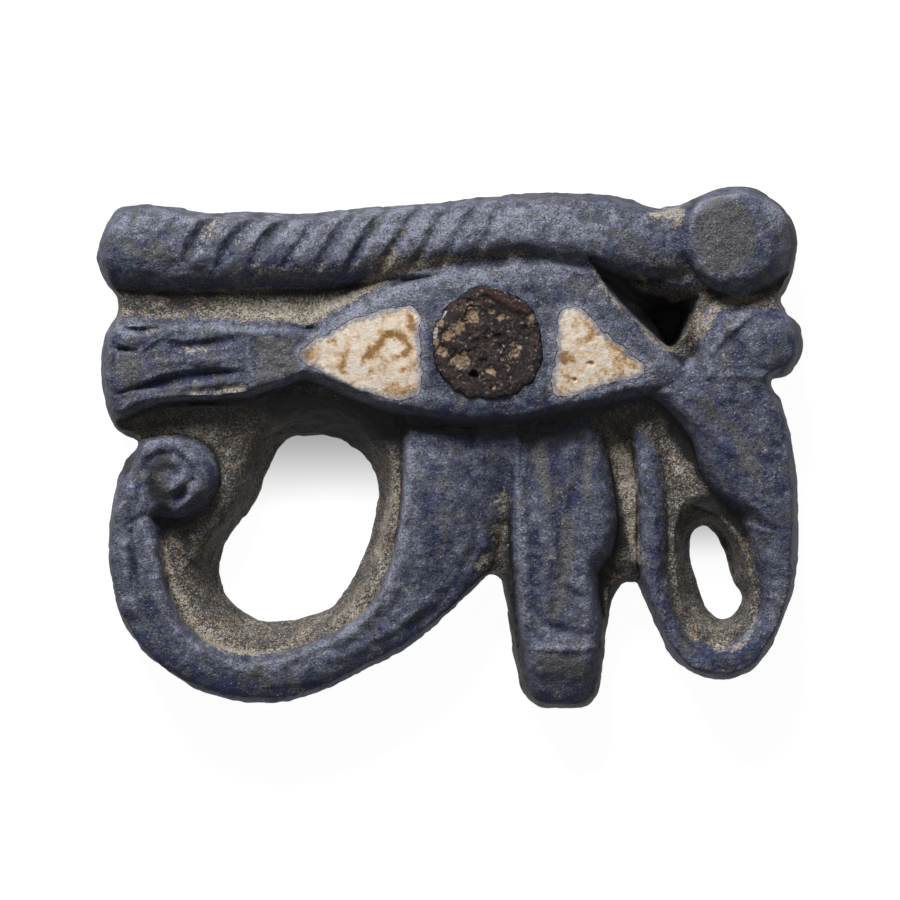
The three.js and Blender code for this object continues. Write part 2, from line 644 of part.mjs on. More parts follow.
function sockets() {
  const outer = cellOutline(outerCellShares, outerCellLength, outerCellHeight, -1, 0);
  const inner = cellOutline(innerCellShares, innerCellLength, innerCellHeight, 1, 0);
  return post(outer, socketFloor, above)
    .add(post(inner, socketFloor, above))
    .add(post(pupilOutline(0), socketFloor, above));
}

// The suspension bore, lengthwise through the brow from end to end
function bore() {
  const reach = amuletLength + 2 * cutOverrun;
  const tube = new THREE.CylinderGeometry(boreDiameter / 2, boreDiameter / 2, reach, 16);
  tube.rotateZ(Math.PI / 2);
  tube.translate(0, (boreShare - 0.5) * amuletHeight, boreHeight);
  return solid(tube);
}

// A raised flat member with an outline's sides
function raised(shares, height, inset) {
  return softSlab(evenOutline(shares.map(place), memberPoints), footHeight, raisedFoot, height, inset);
}

// The ground's climb to a raised form's upper side
function slopeUp(points, foot, top, reach) {
  const farEnd = place([1, 1]);
  const nearEnd = place([0, slopeEndShare]);
  const lowCorner = new THREE.Vector2(farEnd.x, nearEnd.y);
  const highCorner = new THREE.Vector2(nearEnd.x, farEnd.y);
  const upperSide = post([nearEnd, lowCorner, farEnd, highCorner], 0, above);
  return loft([at(drawnIn(points, -reach), foot), at(points, top)], points).intersect(upperSide);
}

function amuletBody() {
  const arm = member(memberLine(armShares, armWidth), footHeight, armHeight, {
    steps: armSteps,
    under: footDepth,
    sides: memberSides,
    square: 0.9,
  });
  const cobra = member(memberLine(cobraShares, cobraWidth), footHeight, cobraHeight, {
    steps: cobraSteps,
    under: footDepth,
    sides: memberSides,
    square: 0.85,
  });
  const flute = (shares, surface, depth) => gouge(shares, fluteWidth, surface, depth, markSteps);
  const coil = raised(coilShares, coilHeight, coilEdgeRound)
    .subtract(flute(coilGrooveShares, coilHeight, coilGrooveDepth))
    .add(boss(place(coilBossShare), coilBossWidth, coilBossWidth, groundHeight, coilBossHeight));
  const dropTop = underProfile(dropProfileShares, dropHeight);
  const drop = raised(dropShares, dropHeight, dropEdgeRound).intersect(dropTop);
  const head = boss(place(headShare), headLength, headWidth, groundHeight, headHeight);
  const barPlaces = evenOutline(barShares.map(place), memberPoints);
  const channelDepth = groundHeight - channelFloor;
  let body = underProfile(groundProfileShares, groundHeight)
    .add(slopeUp(barPlaces, barSlopeFoot, barSlopeTop, barSlopeReach))
    .add(slopeUp(lidOutline(), lidSlopeFoot, lidSlopeTop, lidSlopeReach))
    .add(arm)
    .add(coil)
    .add(drop)
    .subtract(gouge(channelShares, channelWidth, groundHeight, channelDepth, hollowSteps))
    .subtract(gouge(notchShares, notchWidth, groundHeight, groundHeight - notchFloor, hollowSteps))
    .add(cobra)
    .add(raised(hoodShares, hoodHeight, hoodEdgeRound))
    .add(head)
    .add(sunDisc())
    .add(raised(barShares, barHeight, barEdgeRound))
    .subtract(bigLoop())
    .subtract(smallLoop())
    .add(brow())
    .add(eyeDome())
    .intersect(silhouetteBlock())
    .subtract(pitCutter())
    .subtract(sockets())
    .subtract(bore());
  for (const shares of barFluteShares) body = body.subtract(flute(shares, barHeight, fluteDepth));
  for (const shares of dropFluteShares) body = body.subtract(flute(shares, dropHeight, fluteDepth));
  for (const shares of armFluteShares) body = body.subtract(flute(shares, armHeight, fluteDepth));
  return body.simplify(shortestEdge);
}

// A stone cell of the eye: its sides follow the socket and its face follows the dome of the eye
function cellInlay(points) {
  return post(points, seatFloor, above).intersect(eyeDome());
}

// The pupil: a thick glass disc with a rounded edge, standing a little proud of the eye
function pupilInlay() {
  const face = eyeHeight + pupilProud;
  return softSlab(pupilOutline(seatClearance), seatFloor, face - pupilEdgeRound, face, pupilEdgeRound);
}

// A bed of plaster on a socket's floor
function bed(points) {
  return post(points, bedFloor, bedFloor + bedThickness);
}

// A named mesh from a solid
function part(name, made, material) {
  const { vertProperties, numProp, triVerts } = made.getMesh();
  const positions = new Float32Array((vertProperties.length / numProp) * 3);
  for (let i = 0; i < positions.length / 3; i += 1) {
    positions.set(vertProperties.subarray(i * numProp, i * numProp + 3), i * 3);
  }
  const geometry = new THREE.BufferGeometry();
  geometry.setAttribute("position", new THREE.BufferAttribute(positions, 3));
  geometry.setIndex(new THREE.BufferAttribute(new Uint32Array(triVerts), 1));
  geometry.computeVertexNormals();
  const mesh = new THREE.Mesh(geometry, material);
  mesh.name = name;
  return mesh;
}

const faience = new THREE.MeshStandardMaterial({ color: "#474f66", roughness: 0.85, metalness: 0 });
const paleStone = new THREE.MeshStandardMaterial({ color: "#d8cbb9", roughness: 0.8, metalness: 0 });
const darkGlass = new THREE.MeshStandardMaterial({ color: "#2b2226", roughness: 0.55, metalness: 0 });
const plaster = new THREE.MeshStandardMaterial({ color: "#c9bda6", roughness: 0.95, metalness: 0 });

const outerCell = cellOutline(outerCellShares, outerCellLength, outerCellHeight, -1, seatClearance);
const innerCell = cellOutline(innerCellShares, innerCellLength, innerCellHeight, 1, seatClearance);

const amulet = new THREE.Group();
amulet.add(part("amulet_body", amuletBody(), faience));
amulet.add(part("outer_sclera_inlay", cellInlay(outerCell), paleStone));
amulet.add(part("inner_sclera_inlay", cellInlay(innerCell), paleStone));
amulet.add(part("pupil_inlay", pupilInlay(), darkGlass));
amulet.add(part("outer_sclera_bed", bed(outerCell), plaster));
amulet.add(part("inner_sclera_bed", bed(innerCell), plaster));
amulet.add(part("pupil_bed", bed(pupilOutline(seatClearance)), plaster));

export default amulet;
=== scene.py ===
"""Looks of a wedjat eye amulet: granular blue faience with soil in its recesses, two cells of stained pale
stone and a pupil of bubbly dark glass. Each piece is a plate: a relief, which is a height over the plan, on
a grid cut to the piece's outline, with walls down to a flat back. Tables of places are in pixels of the
photograph, which looks straight down on the amulet; heights and depths are in millimetres over its back."""

import math

import bpy
import numpy as np
from bpy.props import FloatProperty, FloatVectorProperty, IntProperty, PointerProperty
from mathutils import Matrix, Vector
from mathutils.geometry import delaunay_2d_cdt


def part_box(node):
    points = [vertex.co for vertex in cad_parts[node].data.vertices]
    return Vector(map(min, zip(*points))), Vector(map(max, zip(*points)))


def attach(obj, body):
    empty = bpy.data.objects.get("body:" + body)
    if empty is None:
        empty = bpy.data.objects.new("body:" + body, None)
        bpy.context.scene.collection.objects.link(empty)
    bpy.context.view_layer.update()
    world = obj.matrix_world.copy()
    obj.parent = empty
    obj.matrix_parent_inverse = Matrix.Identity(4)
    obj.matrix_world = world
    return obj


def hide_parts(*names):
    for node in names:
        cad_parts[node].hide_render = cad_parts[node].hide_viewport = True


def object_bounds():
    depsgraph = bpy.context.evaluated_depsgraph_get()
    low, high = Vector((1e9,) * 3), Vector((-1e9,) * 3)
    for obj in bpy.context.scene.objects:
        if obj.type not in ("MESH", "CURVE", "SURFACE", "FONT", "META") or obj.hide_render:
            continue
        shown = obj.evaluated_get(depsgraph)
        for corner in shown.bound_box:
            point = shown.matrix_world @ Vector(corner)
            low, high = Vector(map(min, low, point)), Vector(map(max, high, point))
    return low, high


bl_info = {
    "name": "Wedjat Eye Amulet",
    "version": (1, 0, 0),
    "blender": (4, 5, 0),
    "location": "View3D > Sidebar > Amulet",
    "description": "Builds the looks of a faience wedjat eye amulet around its CAD frame",
    "category": "Object",
}

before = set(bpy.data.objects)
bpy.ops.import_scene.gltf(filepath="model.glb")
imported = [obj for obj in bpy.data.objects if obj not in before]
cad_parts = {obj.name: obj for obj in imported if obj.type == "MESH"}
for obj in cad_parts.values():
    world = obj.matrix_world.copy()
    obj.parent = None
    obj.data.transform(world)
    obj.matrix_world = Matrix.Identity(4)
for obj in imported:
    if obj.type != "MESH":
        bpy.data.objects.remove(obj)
CAD_LOW, CAD_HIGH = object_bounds()

MM = 0.001
PHOTO_LEFT, PHOTO_RIGHT, PHOTO_TOP, PHOTO_BOTTOM = 96, 803, 186, 708
PHOTO_MIDDLE_U = (PHOTO_LEFT + PHOTO_RIGHT) / 2
PHOTO_MIDDLE_V = (PHOTO_TOP + PHOTO_BOTTOM) / 2
PHOTO_SIZE = 900
PX = (CAD_HIGH.x - CAD_LOW.x) / MM / (PHOTO_RIGHT - PHOTO_LEFT)
BELOW_ALL, TINY = -50.0, 1e-6
CHUNK = 8192
U, V = 0, 1

# Outlines, in photograph pixels
SILHOUETTE = [
    (97, 262), (99, 245), (106, 224), (118, 209), (140, 204), (170, 206), (205, 212), (245, 213),
    (290, 214), (335, 211), (380, 207), (425, 203), (470, 198), (515, 194), (560, 193), (600, 194),
    (628, 200), (655, 208), (680, 206), (703, 196), (725, 187), (750, 187), (772, 197), (790, 216),
    (797, 238), (794, 265), (786, 288), (780, 300), (788, 313), (800, 327), (803, 343), (799, 361),
    (789, 374), (774, 379), (773, 388), (783, 404), (790, 430), (794, 460), (797, 505), (797, 550),
    (793, 590), (783, 622), (770, 650), (754, 669), (735, 677), (714, 679), (690, 671), (671, 653),
    (657, 625), (646, 600), (638, 583), (629, 580), (619, 585), (611, 605), (606, 640), (602, 675),
    (597, 697), (585, 707), (562, 708), (538, 706), (524, 693), (518, 670), (511, 630), (505, 596),
    (499, 577), (489, 575), (474, 588), (450, 611), (422, 636), (385, 659), (345, 679), (305, 697),
    (265, 702), (225, 697), (185, 682), (148, 655), (123, 622), (111, 580), (109, 540), (114, 498),
    (124, 466), (139, 445), (137, 439), (118, 430), (107, 408), (102, 375), (103, 348), (109, 327),
    (117, 313), (116, 297), (106, 284),
]
LOOP_HOLE = [
    (313, 434), (340, 439), (363, 454), (376, 476), (379, 500), (373, 528), (362, 558), (350, 585),
    (332, 607), (305, 619), (275, 623), (248, 618), (230, 604), (220, 585), (218, 563), (227, 539),
    (245, 515), (258, 494), (267, 470), (278, 447), (293, 436),
]
LOOP_CREST = [
    (155, 540), (157, 570), (165, 605), (182, 636), (212, 656), (250, 666), (295, 658), (338, 640),
    (372, 611), (391, 578), (400, 535), (404, 490), (404, 455), (398, 425), (362, 404), (310, 392),
    (262, 400), (235, 425), (222, 460), (215, 495), (195, 525),
]
SMALL_HOLE = [
    (704, 527), (716, 535), (726, 556), (735, 580), (744, 596), (738, 612), (722, 620), (706, 606),
    (696, 580), (691, 553), (693, 535),
]
SMALL_CREST = [
    (702, 492), (735, 520), (752, 548), (760, 585), (756, 615), (738, 638), (712, 648), (688, 638),
    (670, 612), (663, 575), (662, 520), (664, 455), (673, 440), (690, 462),
]
EYE = [
    (300, 332), (345, 306), (395, 281), (440, 268), (500, 259), (560, 257), (596, 264), (614, 288),
    (640, 318), (665, 345), (690, 372), (680, 392), (640, 399), (590, 411), (530, 424), (470, 427),
    (415, 420), (365, 406), (325, 388), (298, 378), (285, 355),
]
BAR = [
    (104, 330), (114, 321), (160, 319), (205, 318), (250, 321), (290, 322), (322, 330), (330, 350),
    (318, 374), (290, 386), (262, 395), (248, 401), (200, 403), (150, 409), (120, 420), (104, 410),
    (96, 378), (97, 350),
]
DROP = [
    (508, 385), (507, 430), (507, 470), (509, 520), (512, 570), (514, 610), (520, 650), (524, 680),
    (531, 703), (560, 712), (590, 706), (598, 690), (602, 660), (603, 625), (600, 590), (601, 570),
    (613, 552), (618, 525), (614, 490), (607, 450), (602, 420), (600, 385),
]
HOOD = [
    (640, 392), (668, 374), (688, 355), (712, 344), (736, 325), (768, 312), (796, 322), (808, 346),
    (798, 370), (784, 380), (790, 400), (799, 440), (803, 490), (803, 540), (795, 566), (775, 545),
    (748, 520), (716, 496), (699, 470), (690, 443), (674, 420), (655, 403),
]
OUTER_CELL = [
    (299, 355), (308, 346), (330, 332), (355, 319), (385, 310), (412, 307), (419, 312), (420, 345),
    (422, 385), (418, 396), (400, 400), (375, 396), (345, 386), (318, 372),
]
INNER_CELL = [
    (560, 312), (573, 308), (585, 313), (600, 330), (620, 345), (636, 359), (644, 370), (638, 377),
    (612, 383), (590, 391), (570, 398), (555, 395), (551, 385), (555, 360), (556, 335),
]
PUPIL = [
    (485, 287), (503, 291), (519, 300), (531, 310), (538, 323), (540, 341), (542, 359), (536, 376),
    (521, 390), (499, 398), (473, 397), (452, 388), (439, 371), (432, 350), (434, 330), (443, 313),
    (456, 299), (469, 290),
]
CELLS = {"outer_sclera": OUTER_CELL, "inner_sclera": INNER_CELL}
PIT_RIM = [
    (588, 257), (600, 276), (611, 298), (630, 316), (650, 334), (668, 348), (680, 343), (690, 325),
    (697, 307), (701, 296), (684, 289), (660, 288), (640, 281), (612, 265),
]
PIT_FLOOR = [
    (653, 313), (659, 326), (665, 339), (671, 345), (677, 339), (681, 325), (683, 311), (668, 307),
]

# Middles and half widths of the worn flat of the sun disc, of the disc and of the cobra's head, in pixels
DISC_FLAT, DISC, HEAD = (723, 237, 33, 40), (739, 239, 60), (768, 346, 37, 32)

# The ball of the eye: its middle, its top, and how far it falls at how many pixels from there
EYE_MIDDLE, EYE_TOP, EYE_FALLS, EYE_REACHES = (486, 345), 7.3, (0.9, 0.35), (200, 75)

# Slopes: starting height in millimetres, then how far each climbs where all its ramps are full. A ramp goes
# from one column (U) or row (V) of pixels to another.
GROUND = (4.9, [
    (-0.7, [(V, 395, 440)]), (0.28, [(V, 395, 440), (U, 640, 700)]),
    (-0.5, [(V, 500, 580), (U, 480, 500), (U, 660, 645)]),
    (-0.5, [(V, 415, 440), (U, 596, 610), (U, 652, 640)]), (0.7, [(V, 272, 300), (V, 350, 325)]),
])
OVER_EYE = (6.7, [
    (-2, [(U, 410, 300)]), (-2, [(U, 590, 700)]), (-3, [(V, 230, 212)]), (-3, [(V, 274, 292)]),
])
UNDER_LIDS = (0.0, [(-4, [(V, 325, 350)])])
SADDLE = (6.9, [
    (-0.8, [(V, 236, 290)]), (-3, [(V, 282, 312)]), (-3, [(U, 668, 646)]), (-3, [(U, 704, 726)]),
])
FAN = (5.3, [(1.45, [(V, 285, 330)]), (-3, [(V, 375, 400)]), (-3, [(U, 706, 684)]), (-3, [(U, 786, 808)])])
BRIDGE = (5.3, [(-1.6, [(V, 450, 560)]), (-3, [(U, 480, 458)]), (-3, [(U, 516, 538)])])
BAR_TOP = (6.45, [(0.15, [(U, 250, 256)]), (0.1, [(U, 150, 120)])])
HOOD_TOP = (6.35, [(-0.3, [(V, 500, 560)])])

# Skirts of ground that climb to the lids and to the bar: top, fall and width in millimetres, and their
# blend
LID_SKIRT, BAR_SKIRT, SKIRT_BLEND = (6.3, 2.4, 2.2), (6.1, 2.1, 2.3), 0.2
OVER_EYE_BLEND = 0.6
JOINED_SLOPES = [(SADDLE, 0.3), (FAN, 0.4), (BRIDGE, 0.3)]

# Openings: floor, crest, height of the lip, of the ground's crest with its blend, and of the members' crest
# with its blend, in millimetres, and the power of the wall's curve
OPENINGS = [
    (PIT_FLOOR, PIT_RIM, 1.6, (5.6, 0.0), (6.9, 0.3), 0.7),
    (LOOP_HOLE, LOOP_CREST, 1.0, (6.2, 0.9), (6.3, 0.3), 0.75),
    (SMALL_HOLE, SMALL_CREST, 1.0, (6.1, 0.0), (6.3, 0.3), 0.75),
]

# Members: height of the foot, reach of the blend into what lies under them, and rounding of the flat ones'
# edges, in millimetres
ARM_FOOT, ARM_BLEND = 3.2, 0.9
COIL_FOOT, COIL_BLEND, COIL_ROUNDING, COIL_TOP = 3.9, 0.45, 1.1, 6.0
DROP_FOOT, DROP_BLEND, DROP_ROUNDING = 3.2, 0.8, 1.1
DROP_ROWS = [385, 415, 430, 470, 520, 612, 636, 648, 660, 708]
DROP_TOPS = [4.8, 4.9, 5.05, 5.45, 5.85, 5.7, 5.72, 5.85, 5.7, 4.6]
TAIL_FOOT, TAIL_BLEND = 3.4, 0.7
HOOD_FOOT, HOOD_BLEND, HOOD_ROUNDING, HOOD_CROWN, HOOD_CROWN_REACH = 3.8, 0.6, 0.9, 0.35, 2.4
HEAD_FOOT, HEAD_BLEND, HEAD_RISE, HEAD_TILT = 4.2, 0.9, 2.8, 0.004
BAR_FOOT, BAR_BLEND, BAR_ROUNDING, BAR_TILT, BAR_TILT_ROWS = 3.8, 0.3, 0.75, 0.006, (380, 420)
LID_FOOT, LID_BLEND, LID_ROUNDING = 3.8, 0.45, 0.9
BROW_FOOT, BROW_BLEND = 4.4, 1.3
DISC_FOOT, DISC_BLEND, DISC_RISE, DISC_CROWN, DISC_POWER, DISC_PIXEL = 3.2, 0.6, 4.2, 0.3, 2.3, 36
EDGE_FOOT, EDGE_BLEND, EDGE_RISE, EDGE_ROUNDING = 2.2, 0.4, 6.2, 1.5

# Raised members: u, v, half width in pixels, crest height in millimetres, and how far the crest lies to the
# line's left, as a share of the half width
BROW = [
    (80, 244, 43, 6.9, -0.2), (99, 244, 45, 7.05, -0.2), (125, 241, 50, 7.25, -0.24),
    (170, 242, 51, 7.4, -0.26), (230, 245, 48, 7.4, -0.24), (290, 244, 47, 7.4, -0.27),
    (345, 240, 47, 7.4, -0.32), (400, 232, 43, 7.45, -0.37), (460, 225, 41, 7.5, -0.42),
    (530, 220, 40, 7.55, -0.46), (590, 226, 45, 7.55, -0.44), (640, 234, 46, 7.35, -0.4),
    (680, 238, 40, 7.15, -0.3), (705, 240, 30, 7.0, -0.1),
]
ARM = [
    (458, 400, 58, 5.0, -0.85), (458, 440, 57, 5.5, -0.85), (457, 470, 55, 5.95, -0.87),
    (453, 512, 53, 6.15, -0.87), (443, 552, 50, 6.15, -0.86), (425, 596, 45, 6.1, -0.84),
    (394, 635, 39, 6.05, -0.82), (350, 664, 37, 6.0, -0.8), (302, 683, 37, 6.0, -0.82),
    (250, 690, 38, 6.0, -0.82), (199, 678, 38, 6.0, -0.82), (160, 652, 40, 6.05, -0.8),
    (133, 607, 40, 6.1, -0.78), (125, 562, 40, 6.1, -0.75), (126, 525, 36, 6.0, -0.5),
    (133, 495, 28, 5.9, 0),
]
COIL = [
    (128, 470), (138, 443), (156, 436), (176, 435), (197, 440), (212, 452), (219, 468), (218, 486),
    (209, 503), (195, 515), (176, 519), (155, 519), (144, 530), (120, 540), (100, 520), (105, 490),
]
TAIL = [
    (775, 500, 41, 6.4, -0.1), (779, 530, 36, 6.35, -0.1), (783, 560, 32, 6.2, -0.1),
    (784, 592, 29, 6.1, -0.1), (777, 626, 29, 6.05, -0.1), (753, 658, 29, 6.0, -0.1),
    (714, 669, 29, 5.9, -0.1), (680, 655, 24, 5.9, -0.1), (661, 617, 17, 5.85, 0), (654, 575, 15, 5.8, 0),
    (653, 530, 15, 5.7, 0), (652, 490, 15, 5.45, 0), (648, 455, 14, 5.0, 0), (643, 430, 12, 4.5, 0),
]

# Tool marks: u, v, half width in pixels, and depth in millimetres
BROW_MARKS = [
    [(160, 243, 6, 0.06), (172, 230, 8, 0.16), (186, 213, 6, 0.08)],
    [(186, 266, 6, 0.2), (192, 252, 10, 0.5), (204, 233, 13, 0.68), (223, 212, 9, 0.36)],
    [(219, 268, 6, 0.2), (228, 252, 10, 0.46), (242, 234, 12, 0.58), (262, 214, 9, 0.3)],
    [(254, 265, 6, 0.15), (263, 249, 10, 0.48), (276, 232, 10, 0.55), (294, 214, 8, 0.28)],
    [(286, 266, 6, 0.12), (299, 247, 8, 0.32), (319, 219, 8, 0.22)],
    [(318, 269, 6, 0.14), (331, 248, 9, 0.42), (351, 215, 8, 0.28)],
    [(347, 271, 6, 0.18), (363, 245, 9, 0.46), (388, 209, 8, 0.3)],
    [(380, 271, 6, 0.16), (397, 244, 9, 0.42), (418, 207, 8, 0.3)],
    [(414, 266, 6, 0.14), (429, 242, 9, 0.36), (451, 204, 8, 0.26)],
    [(443, 262, 6, 0.14), (458, 237, 8, 0.3), (480, 202, 7, 0.2)],
    [(478, 252, 6, 0.1), (500, 212, 7, 0.18)],
    [(150, 262, 12, 0.08), (200, 270, 10, 0.1), (260, 272, 9, 0.08)],
]
BAR_MARKS = [
    [(118, 394, 3, 0.12), (140, 388, 6, 0.4), (175, 380, 8, 0.55), (215, 374, 8, 0.5), (243, 372, 4, 0.12)],
    [(114, 329, 3, 0.1), (130, 330, 4, 0.35), (147, 331, 6, 0.5), (163, 328, 3, 0.15)],
    [(166, 344, 4, 0.12), (190, 346, 7, 0.32), (215, 343, 7, 0.28), (238, 338, 4, 0.1)],
    [(113, 349, 3, 0.1), (124, 350, 4, 0.32), (140, 352, 3, 0.1)],
    [(115, 322, 3, 0.08), (116, 345, 3, 0.14), (115, 380, 3, 0.12), (116, 408, 3, 0.05)],
    [(150, 405, 3, 0.08), (185, 402, 4, 0.24), (225, 400, 4, 0.24), (250, 396, 3, 0.1)],
    [(254, 338, 3, 0.06), (256, 355, 4, 0.16), (256, 375, 4, 0.14), (254, 386, 3, 0.05)],
    [(190, 391, 5, 0.14), (215, 390, 6, 0.2), (244, 387, 5, 0.14)],
]
ARM_MARKS = [
    [(416, 560, 8, 0.06), (402, 596, 9, 0.14), (372, 626, 11, 0.16), (350, 644, 8, 0.12),
     (322, 652, 11, 0.16), (288, 668, 7, 0.06)],
    [(452, 585, 7, 0.08), (436, 608, 8, 0.16), (410, 628, 7, 0.1)],
    [(478, 520, 6, 0.05), (472, 550, 8, 0.14), (460, 572, 7, 0.08)],
    [(404, 470, 4, 0.05), (412, 500, 5, 0.12), (410, 530, 5, 0.06)],
    [(350, 672, 6, 0.06), (310, 688, 8, 0.12), (270, 690, 7, 0.08)],
    [(132, 532, 5, 0.2), (132, 550, 6, 0.3), (135, 569, 7, 0.45), (136, 590, 6, 0.25), (140, 606, 4, 0.08)],
    [(126, 527, 4, 0.05), (134, 521, 5, 0.12), (147, 515, 4, 0.05)],
]
DROP_MARKS = [
    [(531, 440, 8, 0.1), (530, 490, 9, 0.26), (533, 560, 10, 0.36), (534, 610, 9, 0.36),
     (538, 640, 6, 0.15)],
    [(554, 450, 9, 0.1), (557, 510, 10, 0.2), (564, 560, 10, 0.26), (556, 610, 8, 0.12)],
    [(580, 440, 8, 0.1), (578, 480, 10, 0.22), (570, 520, 10, 0.24), (570, 560, 8, 0.14)],
    [(552, 575, 7, 0.14), (566, 590, 8, 0.3), (584, 600, 7, 0.14)],
    [(543, 625, 6, 0.12), (562, 630, 9, 0.26), (586, 634, 7, 0.14)],
    [(590, 560, 6, 0.1), (598, 572, 7, 0.25), (612, 578, 5, 0.1)],
]
COIL_MARKS = [
    [(139, 502, 7, 0.15), (140, 484, 9, 0.3), (146, 468, 9, 0.38), (156, 457, 9, 0.36), (171, 454, 9, 0.34),
     (184, 459, 8, 0.3), (192, 471, 7, 0.34), (195, 484, 5, 0.15)],
    [(150, 484, 16, 0.3), (162, 502, 15, 0.3), (184, 494, 10, 0.2)],
    [(118, 505, 4, 0.05), (124, 497, 5, 0.16), (131, 484, 4, 0.06)],
]
HOOD_MARKS = [
    [(700, 460, 8, 0.04), (735, 500, 10, 0.12), (758, 522, 7, 0.22), (775, 530, 4, 0.05)],
    [(757, 588, 4, 0.1), (766, 592, 5, 0.2), (776, 590, 4, 0.05)],
    [(692, 400, 10, 0.05), (716, 424, 14, 0.14), (742, 452, 12, 0.1), (760, 480, 8, 0.04)],
]

# Fine ridges: u, v, half width in pixels, and height in millimetres
RIDGES = [
    [(172, 494, 7, 0.15), (179, 483, 9, 0.45), (188, 475, 7, 0.2)],
    [(197, 484, 5, 0.1), (196, 492, 6, 0.22), (187, 500, 6, 0.2), (177, 513, 6, 0.15)],
    [(139, 354, 4, 0.1), (153, 343, 5, 0.24), (168, 334, 4, 0.08)],
    [(251, 330, 3, 0.05), (250, 350, 3, 0.14), (250, 390, 3, 0.08)],
    [(162, 362, 5, 0.06), (200, 361, 7, 0.16), (243, 358, 5, 0.08)],
    [(120, 404, 4, 0.06), (160, 397, 4, 0.12), (200, 397, 4, 0.18), (250, 393, 4, 0.12)],
    [(517, 440, 5, 0.06), (516, 500, 6, 0.18), (518, 580, 7, 0.24), (524, 640, 6, 0.12)],
    [(545, 560, 5, 0.08), (546, 600, 6, 0.16), (547, 636, 5, 0.06)],
    [(538, 648, 4, 0.06), (566, 648, 5, 0.14), (594, 646, 4, 0.1)],
    [(712, 352, 6, 0.08), (724, 336, 7, 0.18), (739, 323, 7, 0.18), (754, 309, 5, 0.06)],
    [(342, 656, 7, 0.06), (385, 635, 7, 0.14), (420, 607, 7, 0.12), (436, 588, 6, 0.05)],
    [(400, 432, 5, 0.06), (403, 480, 5, 0.14), (398, 540, 5, 0.14), (384, 590, 5, 0.1)],
    [(700, 420, 8, 0.06), (725, 445, 10, 0.14), (752, 470, 9, 0.08)],
    [(640, 216, 10, 0.08), (662, 222, 12, 0.16), (682, 216, 9, 0.1)],
    [(156, 307, 3, 0.08), (160, 306, 4, 0.16), (165, 305, 3, 0.08)],
]

# Soil: u, v, half width in pixels, and strength
SOIL_STROKES = [
    [(112, 312, 10, 0.3), (150, 314, 12, 0.3), (200, 313, 14, 0.35), (262, 310, 16, 0.7),
     (310, 312, 16, 0.95), (345, 298, 12, 0.9), (380, 280, 10, 0.8), (420, 266, 7, 0.5),
     (520, 254, 6, 0.35)],
    [(190, 276, 12, 0.3), (230, 274, 14, 0.45), (300, 272, 14, 0.5), (360, 266, 12, 0.5),
     (420, 256, 9, 0.4)],
    [(283, 316, 10, 0.8), (310, 320, 9, 0.8)], [(157, 306, 4, 1.2), (163, 306, 4, 1.2)],
    [(199, 250, 6, 0.7), (208, 234, 9, 0.9), (219, 222, 8, 0.7)],
    [(238, 244, 6, 0.6), (249, 230, 8, 0.8), (256, 222, 6, 0.6)],
    [(274, 240, 5, 0.4), (282, 229, 6, 0.6), (291, 219, 5, 0.4)], [(136, 332, 4, 0.7), (158, 331, 5, 0.8)],
    [(176, 350, 6, 0.5), (205, 351, 7, 0.6), (225, 347, 5, 0.5)],
    [(186, 391, 5, 0.7), (210, 391, 7, 1.0), (242, 389, 7, 1.1)],
    [(162, 548, 7, 0.7), (167, 566, 8, 0.8), (180, 596, 7, 0.6), (196, 624, 7, 0.7), (214, 641, 7, 0.8),
     (256, 654, 6, 0.8), (300, 643, 5, 0.4)],
    [(200, 628, 9, 0.4), (208, 643, 6, 0.4)], [(194, 555, 7, 0.5), (205, 570, 5, 0.3)],
    [(392, 450, 6, 0.3), (391, 500, 6, 0.5), (380, 545, 6, 0.5), (378, 578, 6, 0.4), (335, 620, 5, 0.4)],
    [(608, 432, 9, 0.7), (622, 460, 12, 1.0), (630, 500, 12, 1.1), (632, 530, 10, 0.9), (640, 560, 10, 1.1)],
    [(672, 456, 6, 0.4), (678, 470, 8, 0.6)],
    [(715, 648, 7, 0.9), (732, 648, 8, 1.0), (748, 638, 6, 0.6), (756, 610, 5, 0.5)],
    [(478, 566, 6, 1.1), (486, 556, 6, 0.9)], [(502, 480, 5, 0.4), (503, 530, 7, 0.6)],
    [(606, 590, 5, 0.9), (606, 630, 5, 0.9), (600, 680, 4, 0.6)],
    [(652, 216, 9, 0.9), (668, 214, 11, 1.2), (680, 210, 8, 1.2), (674, 228, 8, 0.9)],
    [(638, 273, 5, 1.1), (645, 283, 5, 1.1)],
    [(650, 262, 14, 0.8), (680, 270, 16, 0.9), (700, 288, 12, 1.0)],
    [(700, 318, 9, 1.1), (700, 334, 8, 1.1), (716, 308, 9, 1.0), (736, 300, 8, 0.9), (760, 300, 7, 0.7)],
    [(588, 264, 3, 0.7), (600, 284, 4, 0.9), (614, 302, 5, 0.9), (634, 321, 5, 0.9), (655, 342, 6, 1.0),
     (668, 351, 7, 1.0)],
    [(142, 436, 8, 0.7), (176, 430, 9, 0.7), (206, 434, 9, 0.5), (226, 452, 7, 0.2)],
]

